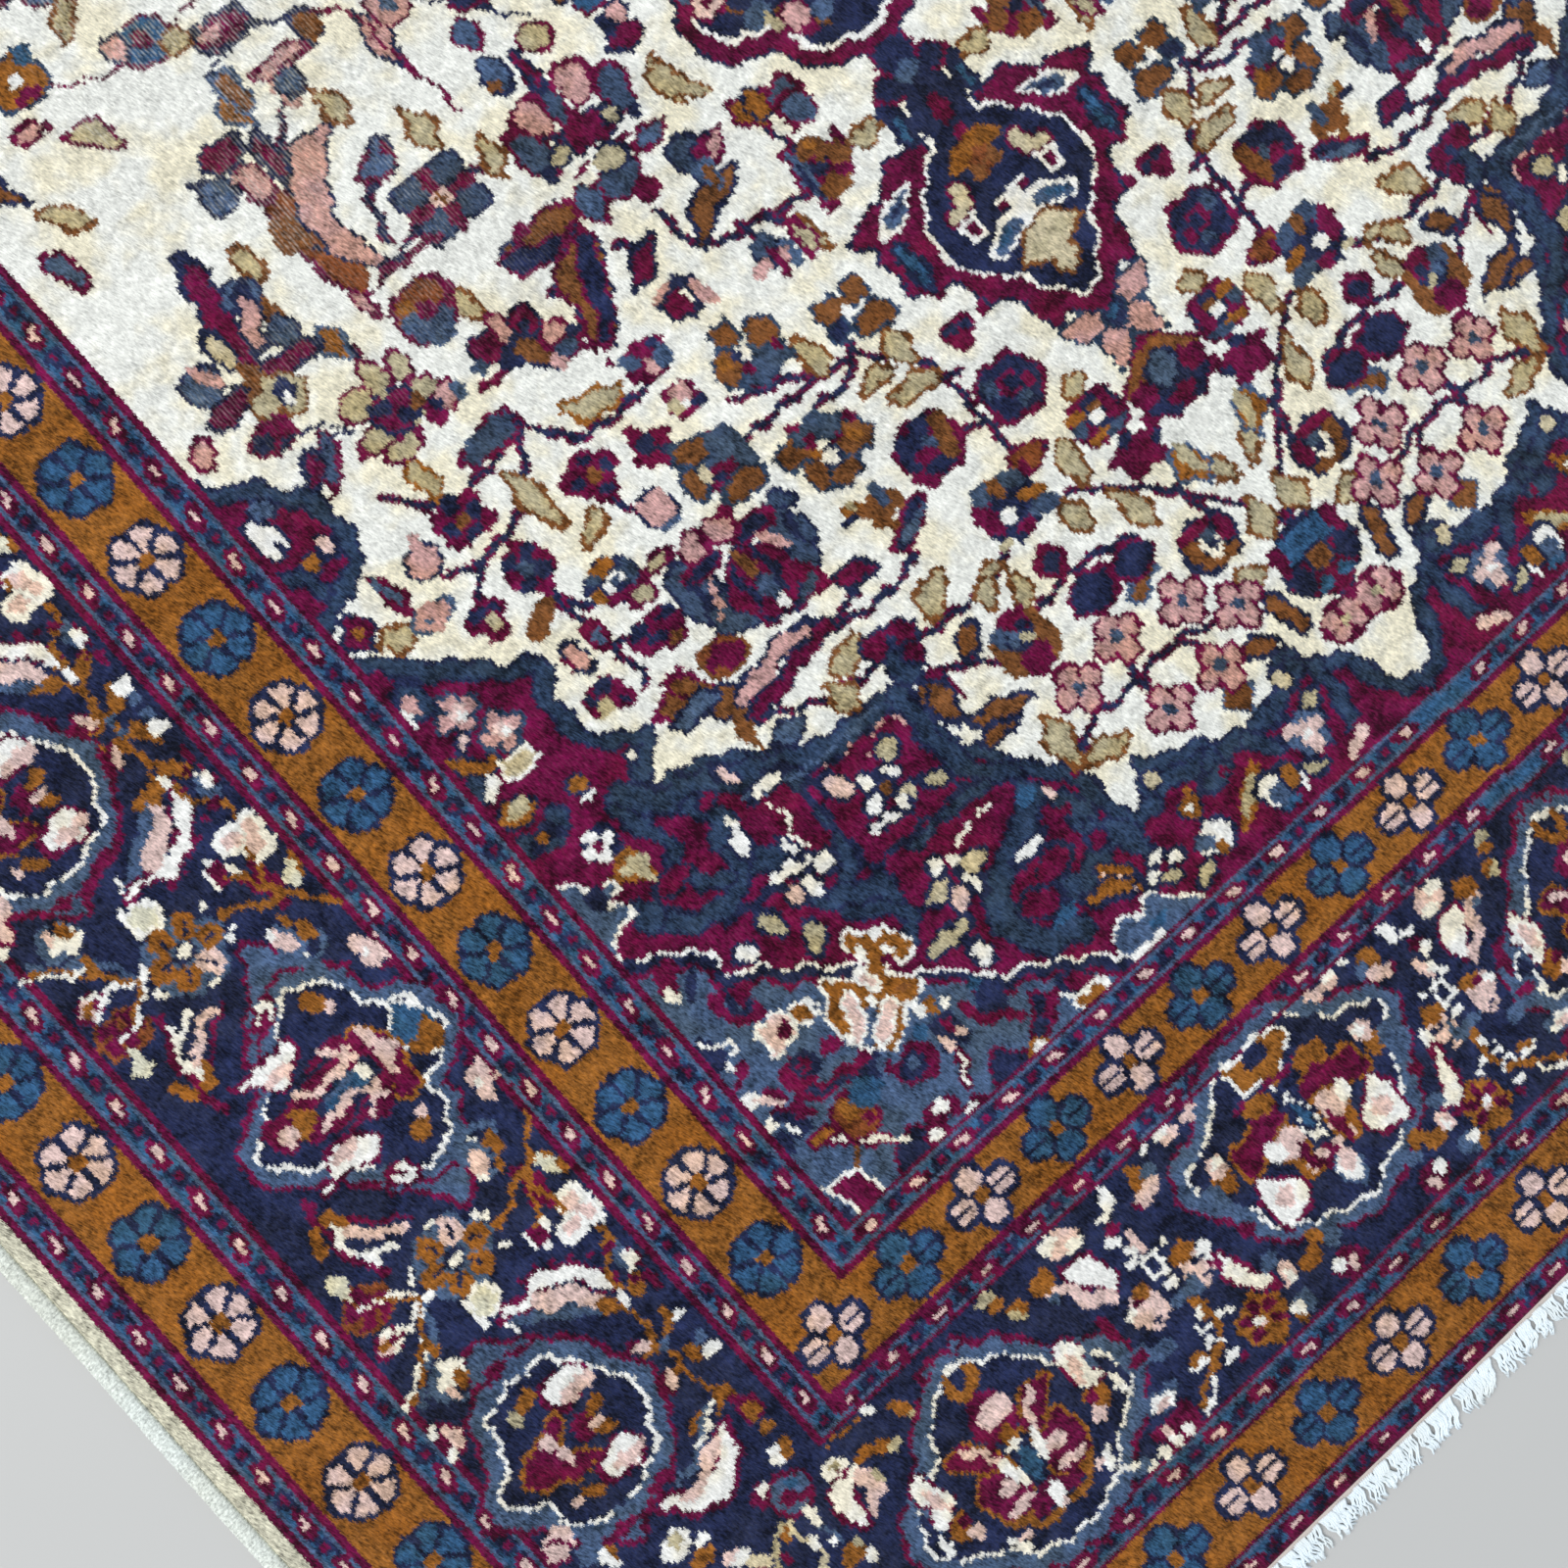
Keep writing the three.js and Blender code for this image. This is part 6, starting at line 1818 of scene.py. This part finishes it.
def overcast_cord(name, side):
    steps = int(2 * HALF_LENGTH / TURN_PITCH) * RINGS_PER_TURN
    tube = bmesh.new()
    bmesh.ops.create_grid(tube, x_segments=CORD_SIDES, y_segments=steps, size=1)
    for vert in tube.verts:
        angle = pi * (1 - vert.co.x)
        vert.co = (np.cos(angle), np.sin(angle), round((vert.co.y + 1) / 2 * steps))
    bmesh.ops.remove_doubles(tube, verts=tube.verts[:], dist=0.01)
    for level in (0, steps):
        rim = [e for e in tube.edges if e.is_boundary and abs(e.verts[0].co.z - level) < 0.5]
        bmesh.ops.contextual_create(tube, geom=rim)
    # The tube is made upright and is laid along y below, which turns its faces over
    bmesh.ops.recalc_face_normals(tube, faces=tube.faces[:])
    bmesh.ops.reverse_faces(tube, faces=tube.faces[:])
    cord = mesh_object(name, tube)
    place = points_of(cord.data)
    angle = np.arctan2(place[:, 1], place[:, 0])
    ring = place[:, 2]
    inner, y = on_plan(np.full(len(ring), -HALF_WIDTH), -HALF_LENGTH + 2 * HALF_LENGTH * ring / steps)
    turn = ring / RINGS_PER_TURN + angle / (2 * pi)
    proud = np.abs(np.sin(pi * turn)) ** RIDGE_ROUND
    uneven = 0.5 + 0.5 * np.sin(turn * 0.71) * np.sin(turn * 0.237 + 1)
    full = CORD_LEAST + CORD_RIDGE * proud + CORD_UNEVEN * uneven
    full = np.where((ring < 0.5) | (ring > steps - 0.5), CORD_END, full)
    x = inner - CORD_GAP - CORD_WIDE / 2 + full * squared(np.cos(angle)) * CORD_WIDE / 2
    z = CORD_HIGH / 2 + full * squared(np.sin(angle)) * CORD_HIGH / 2
    move_points(cord.data, x * side, y * side, z)
    carry(cord.data, "turn_place", "POINT", (turn, np.cos(angle), np.zeros(len(ring))))
    return cord


selvages = [overcast_cord("selvage_cord_left", 1), overcast_cord("selvage_cord_right", -1)]
overcast = Finish("overcast_wool", Roughness=0.9, Sheen_Weight=0.2, Specular_IOR_Level=0.25)
turn_at, round_at, _ = overcast.carried("turn_place")
strand = overcast.noise(turn_at * 6, round_at * 1.2, 0.0)
fluff = overcast.noise(turn_at * 1.2, round_at * 3, 9.0, 3.0, 0.7)
each_turn = overcast.chance(turn_at.by("FLOOR"), 2.0, 5.0)
soil = overcast.noise(turn_at * 0.02, 1.0, 0.0, 2.0, 0.5)
shade = overcast.mixed(overcast.between(soil, 0.35, 0.7), dye(232, 238, 231), dye(220, 221, 206))
shade = overcast.lit(shade, overcast.play((strand, 0.8), (fluff, 2.0), (each_turn, 0.12)) + 0.93)
overcast.sets(Base_Color=shade, Normal=overcast.raised(0.6, 0.0008, strand + fluff))
for cord, was in zip(selvages, ("selvage_left", "selvage_right")):
    cord.data.materials.append(overcast.material)
    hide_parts(was)

# Fringes: the cotton warps, cut short past the last wefts. Each lock is a few plied ends that curl as they
# untwist, all rooted in the narrow strip of wefts that binds the end of the cloth.
LOCKS, ENDS_PER_LOCK, END_STEPS, END_SIDES = 150, 7, 7, 5
LOCK_PITCH, LOCK_FILL = 2 * HALF_WIDTH / LOCKS, 0.92
LOCK_REACH, REACH_PLAY, SHORTEST = 0.0255, 0.005, 0.22
STRIP_WIDE, STRIP_HIGH, STRIP_PARTS = 0.0068, 0.0030, 400
END_THICK, END_TAPER, END_LIFT = 0.00128, 0.0003, 0.0004
luck = np.random.default_rng(11)


def strip_and_ends():
    """A long flat block for the strip, and an upright prism for each end, all prisms in one place."""
    fringe = bmesh.new()
    bmesh.ops.create_cube(fringe, size=1.0)
    long_edges = [e for e in fringe.edges if abs(e.verts[0].co.x - e.verts[1].co.x) > 0.5]
    bmesh.ops.subdivide_edges(fringe, edges=long_edges, cuts=STRIP_PARTS - 1, use_grid_fill=True)
    strip_count = len(fringe.verts)
    bmesh.ops.create_circle(fringe, cap_ends=True, segments=END_SIDES, radius=1.0)
    bmesh.ops.spin(
        fringe, geom=[f for f in fringe.faces if len(f.verts) == END_SIDES], cent=(0, 0, 0), axis=(0, 0, 1),
        dvec=(0, 0, 1), angle=0.0, steps=END_STEPS, use_merge=False, use_normal_flip=False,
        use_duplicate=False,
    )
    # One prism becomes two, then six, and so on up to seven for each of the 150 locks
    for times in (2, 3, 5, 5, 7):
        fringe.verts.ensure_lookup_table()
        strands = fringe.verts[strip_count:]
        edges = {e for v in strands for e in v.link_edges}
        faces = {f for v in strands for f in v.link_faces}
        for _ in range(times - 1):
            bmesh.ops.duplicate(fringe, geom=strands + list(edges) + list(faces))
    bmesh.ops.recalc_face_normals(fringe, faces=fringe.faces[:])
    return fringe, strip_count


def fringe_end(name, side):
    fringe, strip_count = strip_and_ends()
    made = mesh_object(name, fringe)
    place = points_of(made.data)
    count = LOCKS * ENDS_PER_LOCK
    strip, ends = place[:strip_count], place[strip_count:].reshape(count, -1, 3)
    strip_x, edge = on_plan(strip[:, 0] * 2 * HALF_WIDTH, np.full(strip_count, -HALF_LENGTH))
    strip_y = edge - CORD_GAP - STRIP_WIDE * (0.5 - strip[:, 1])
    strip_z = STRIP_HIGH * (strip[:, 2] + 0.5) * (0.86 + 0.14 * np.sin(strip[:, 0] * 1900))

    # What each lock has of its own, and then each of its ends
    lock = np.arange(count) // ENDS_PER_LOCK
    chance = np.sin(12.9898 * lock) * 43758.5453
    chance = chance - np.floor(chance)
    full = 0.85 + 0.15 * np.cos(1.7 * lock)
    lean = 0.004 * np.sin(0.21 * lock + 0.4) + 0.0035 * np.sin(1.9 * lock)
    bend = 0.0016 * np.sin(2.4 * lock)
    in_lock = (np.arange(count) % ENDS_PER_LOCK + 0.5) / ENDS_PER_LOCK - 0.5
    root_x = -HALF_WIDTH + LOCK_PITCH * (lock + 0.5 + LOCK_FILL * in_lock)
    root_x, edge = on_plan(root_x, np.full(count, -HALF_LENGTH))
    root_y = edge - CORD_GAP - STRIP_WIDE * 0.85
    length = (LOCK_REACH - REACH_PLAY * chance) * (1 - SHORTEST * luck.random(count))
    curl = 0.0011 + 0.0012 * luck.random(count)
    start = 2 * pi * chance + 1.3 * luck.random(count)
    turns = 0.9 + 0.6 * full + 0.3 * luck.random(count)

    # Each end runs from its root, spreads and curls more and more, and thins a little
    root_x, root_y, full, lean, bend, in_lock, length, curl, start, turns = (
        own[:, None] for own in (root_x, root_y, full, lean, bend, in_lock, length, curl, start, turns)
    )
    out = ends[:, :, 2] / END_STEPS
    spun = start + 2 * pi * turns * out
    away = curl * out**0.5
    middle_x = root_x + lean * out * out + bend * np.sin(pi * out) + away * np.cos(spun)
    middle_x = middle_x - in_lock * LOCK_PITCH * 0.1 * out
    radius = (END_THICK - END_TAPER * out) * full
    lifted = 0.0012 * (1 - out) * (0.5 + in_lock) + 0.0011 * (1 + np.sin(spun)) * out * full
    end_x = middle_x + radius * ends[:, :, 0] * 1.1
    end_y = root_y - (length - 0.0007) * out - 0.4 * away * np.sin(2 * spun)
    end_z = radius + END_LIFT + lifted + radius * ends[:, :, 1]
    x = np.concatenate([strip_x, end_x.ravel()])
    y = np.concatenate([strip_y, end_y.ravel()])
    z = np.concatenate([strip_z, end_z.ravel()])
    move_points(made.data, x * side, y * side, np.maximum(z, 0))
    end_number = np.concatenate([np.zeros(strip_count), np.repeat(np.arange(count), ends.shape[1]) + 1])
    how_far = np.concatenate([np.zeros(strip_count), out.ravel()])
    carry(made.data, "end_place", "POINT", (end_number, how_far, x * 1000))
    return made


fringes = [fringe_end("fringe_ends_front", 1), fringe_end("fringe_ends_back", -1)]
cotton = Finish("warp_cotton", Roughness=0.88, Sheen_Weight=0.15, Specular_IOR_Level=0.3)
end_number, end_out, end_x = cotton.carried("end_place")
twist = cotton.noise(end_number * 3.7, end_out * 26, end_x * 0.8)
grime = cotton.noise(end_x * 0.02, end_out * 0.6, 0.0, 2.0, 0.5)
each_end = cotton.chance(end_number, 4.0, 1.0)
shade = cotton.mixed(cotton.between(grime, 0.45, 0.8), dye(240, 250, 255), dye(234, 239, 236))
shade = cotton.mixed(end_number.by("LESS_THAN", 0.5), shade, dye(228, 213, 202))
shade = cotton.lit(shade, cotton.play((twist, 0.4), (each_end, 0.06)) + 1.0)
cotton.sets(Base_Color=shade, Normal=cotton.raised(0.5, 0.0004, twist))
for fringe, was in zip(fringes, ("fringe_front", "fringe_back")):
    fringe.data.materials.append(cotton.material)
    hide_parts(was)

# The place it is seen in: a plain pale floor, and soft light from the side of the far end
import mathutils

FLOOR_REACH, FLOOR_COLOUR = 9.0, (0.56, 0.55, 0.53, 1)
SKY_COLOUR, SKY_STRENGTH = (0.86, 0.93, 1.0, 1), 0.75
LAMP_AT, LAMP_TOWARDS = (-4.5, 3.5, 6.0), (-0.3, -0.6, 0.0)
LAMP_SIZE, LAMP_POWER, LAMP_COLOUR = 3.6, 440, (1.0, 0.98, 0.96)

stage = bmesh.new()
bmesh.ops.create_grid(stage, x_segments=1, y_segments=1, size=FLOOR_REACH)
floor_mesh = bpy.data.meshes.new("floor")
stage.to_mesh(floor_mesh)
stage.free()
floor = bpy.data.objects.new("floor", floor_mesh)
bpy.context.scene.collection.objects.link(floor)
floor_mesh.materials.append(Finish("pale_floor", Base_Color=FLOOR_COLOUR, Roughness=0.6).material)

scene = bpy.context.scene
scene.view_settings.view_transform = "Standard"
scene.world = bpy.data.worlds.new("studio")
scene.world.use_nodes = True
sky = scene.world.node_tree.nodes["Background"]
sky.inputs["Color"].default_value = SKY_COLOUR
sky.inputs["Strength"].default_value = SKY_STRENGTH
lamp = bpy.data.lights.new("window", "AREA")
lamp.size, lamp.energy, lamp.color = LAMP_SIZE, LAMP_POWER, LAMP_COLOUR
window = bpy.data.objects.new("window", lamp)
window.location = LAMP_AT
lamp_way = mathutils.Vector(LAMP_TOWARDS) - mathutils.Vector(LAMP_AT)
window.rotation_euler = lamp_way.to_track_quat("-Z", "Y").to_euler()
scene.collection.objects.link(window)

# The camera is held over the near left corner, looking almost straight down and turned across the rug
CAMERA_AT = (-0.4665, -0.8413, 0.823)
CAMERA_RIGHT, CAMERA_BACK = (0.74896, -0.65827, 0.07577), (-0.07952, 0.02422, 0.99654)
LENS, FILM_WIDTH, NEAREST = 27.05, 36.0, 0.02
lens = bpy.data.cameras.new("camera")
lens.lens, lens.sensor_width, lens.clip_start = LENS, FILM_WIDTH, NEAREST
camera = bpy.data.objects.new("camera", lens)
back = mathutils.Vector(CAMERA_BACK).normalized()
up = back.cross(mathutils.Vector(CAMERA_RIGHT).normalized()).normalized()
turned = mathutils.Matrix((up.cross(back), up, back)).transposed().to_4x4()
camera.matrix_world = mathutils.Matrix.Translation(CAMERA_AT) @ turned
scene.collection.objects.link(camera)
scene.camera = camera
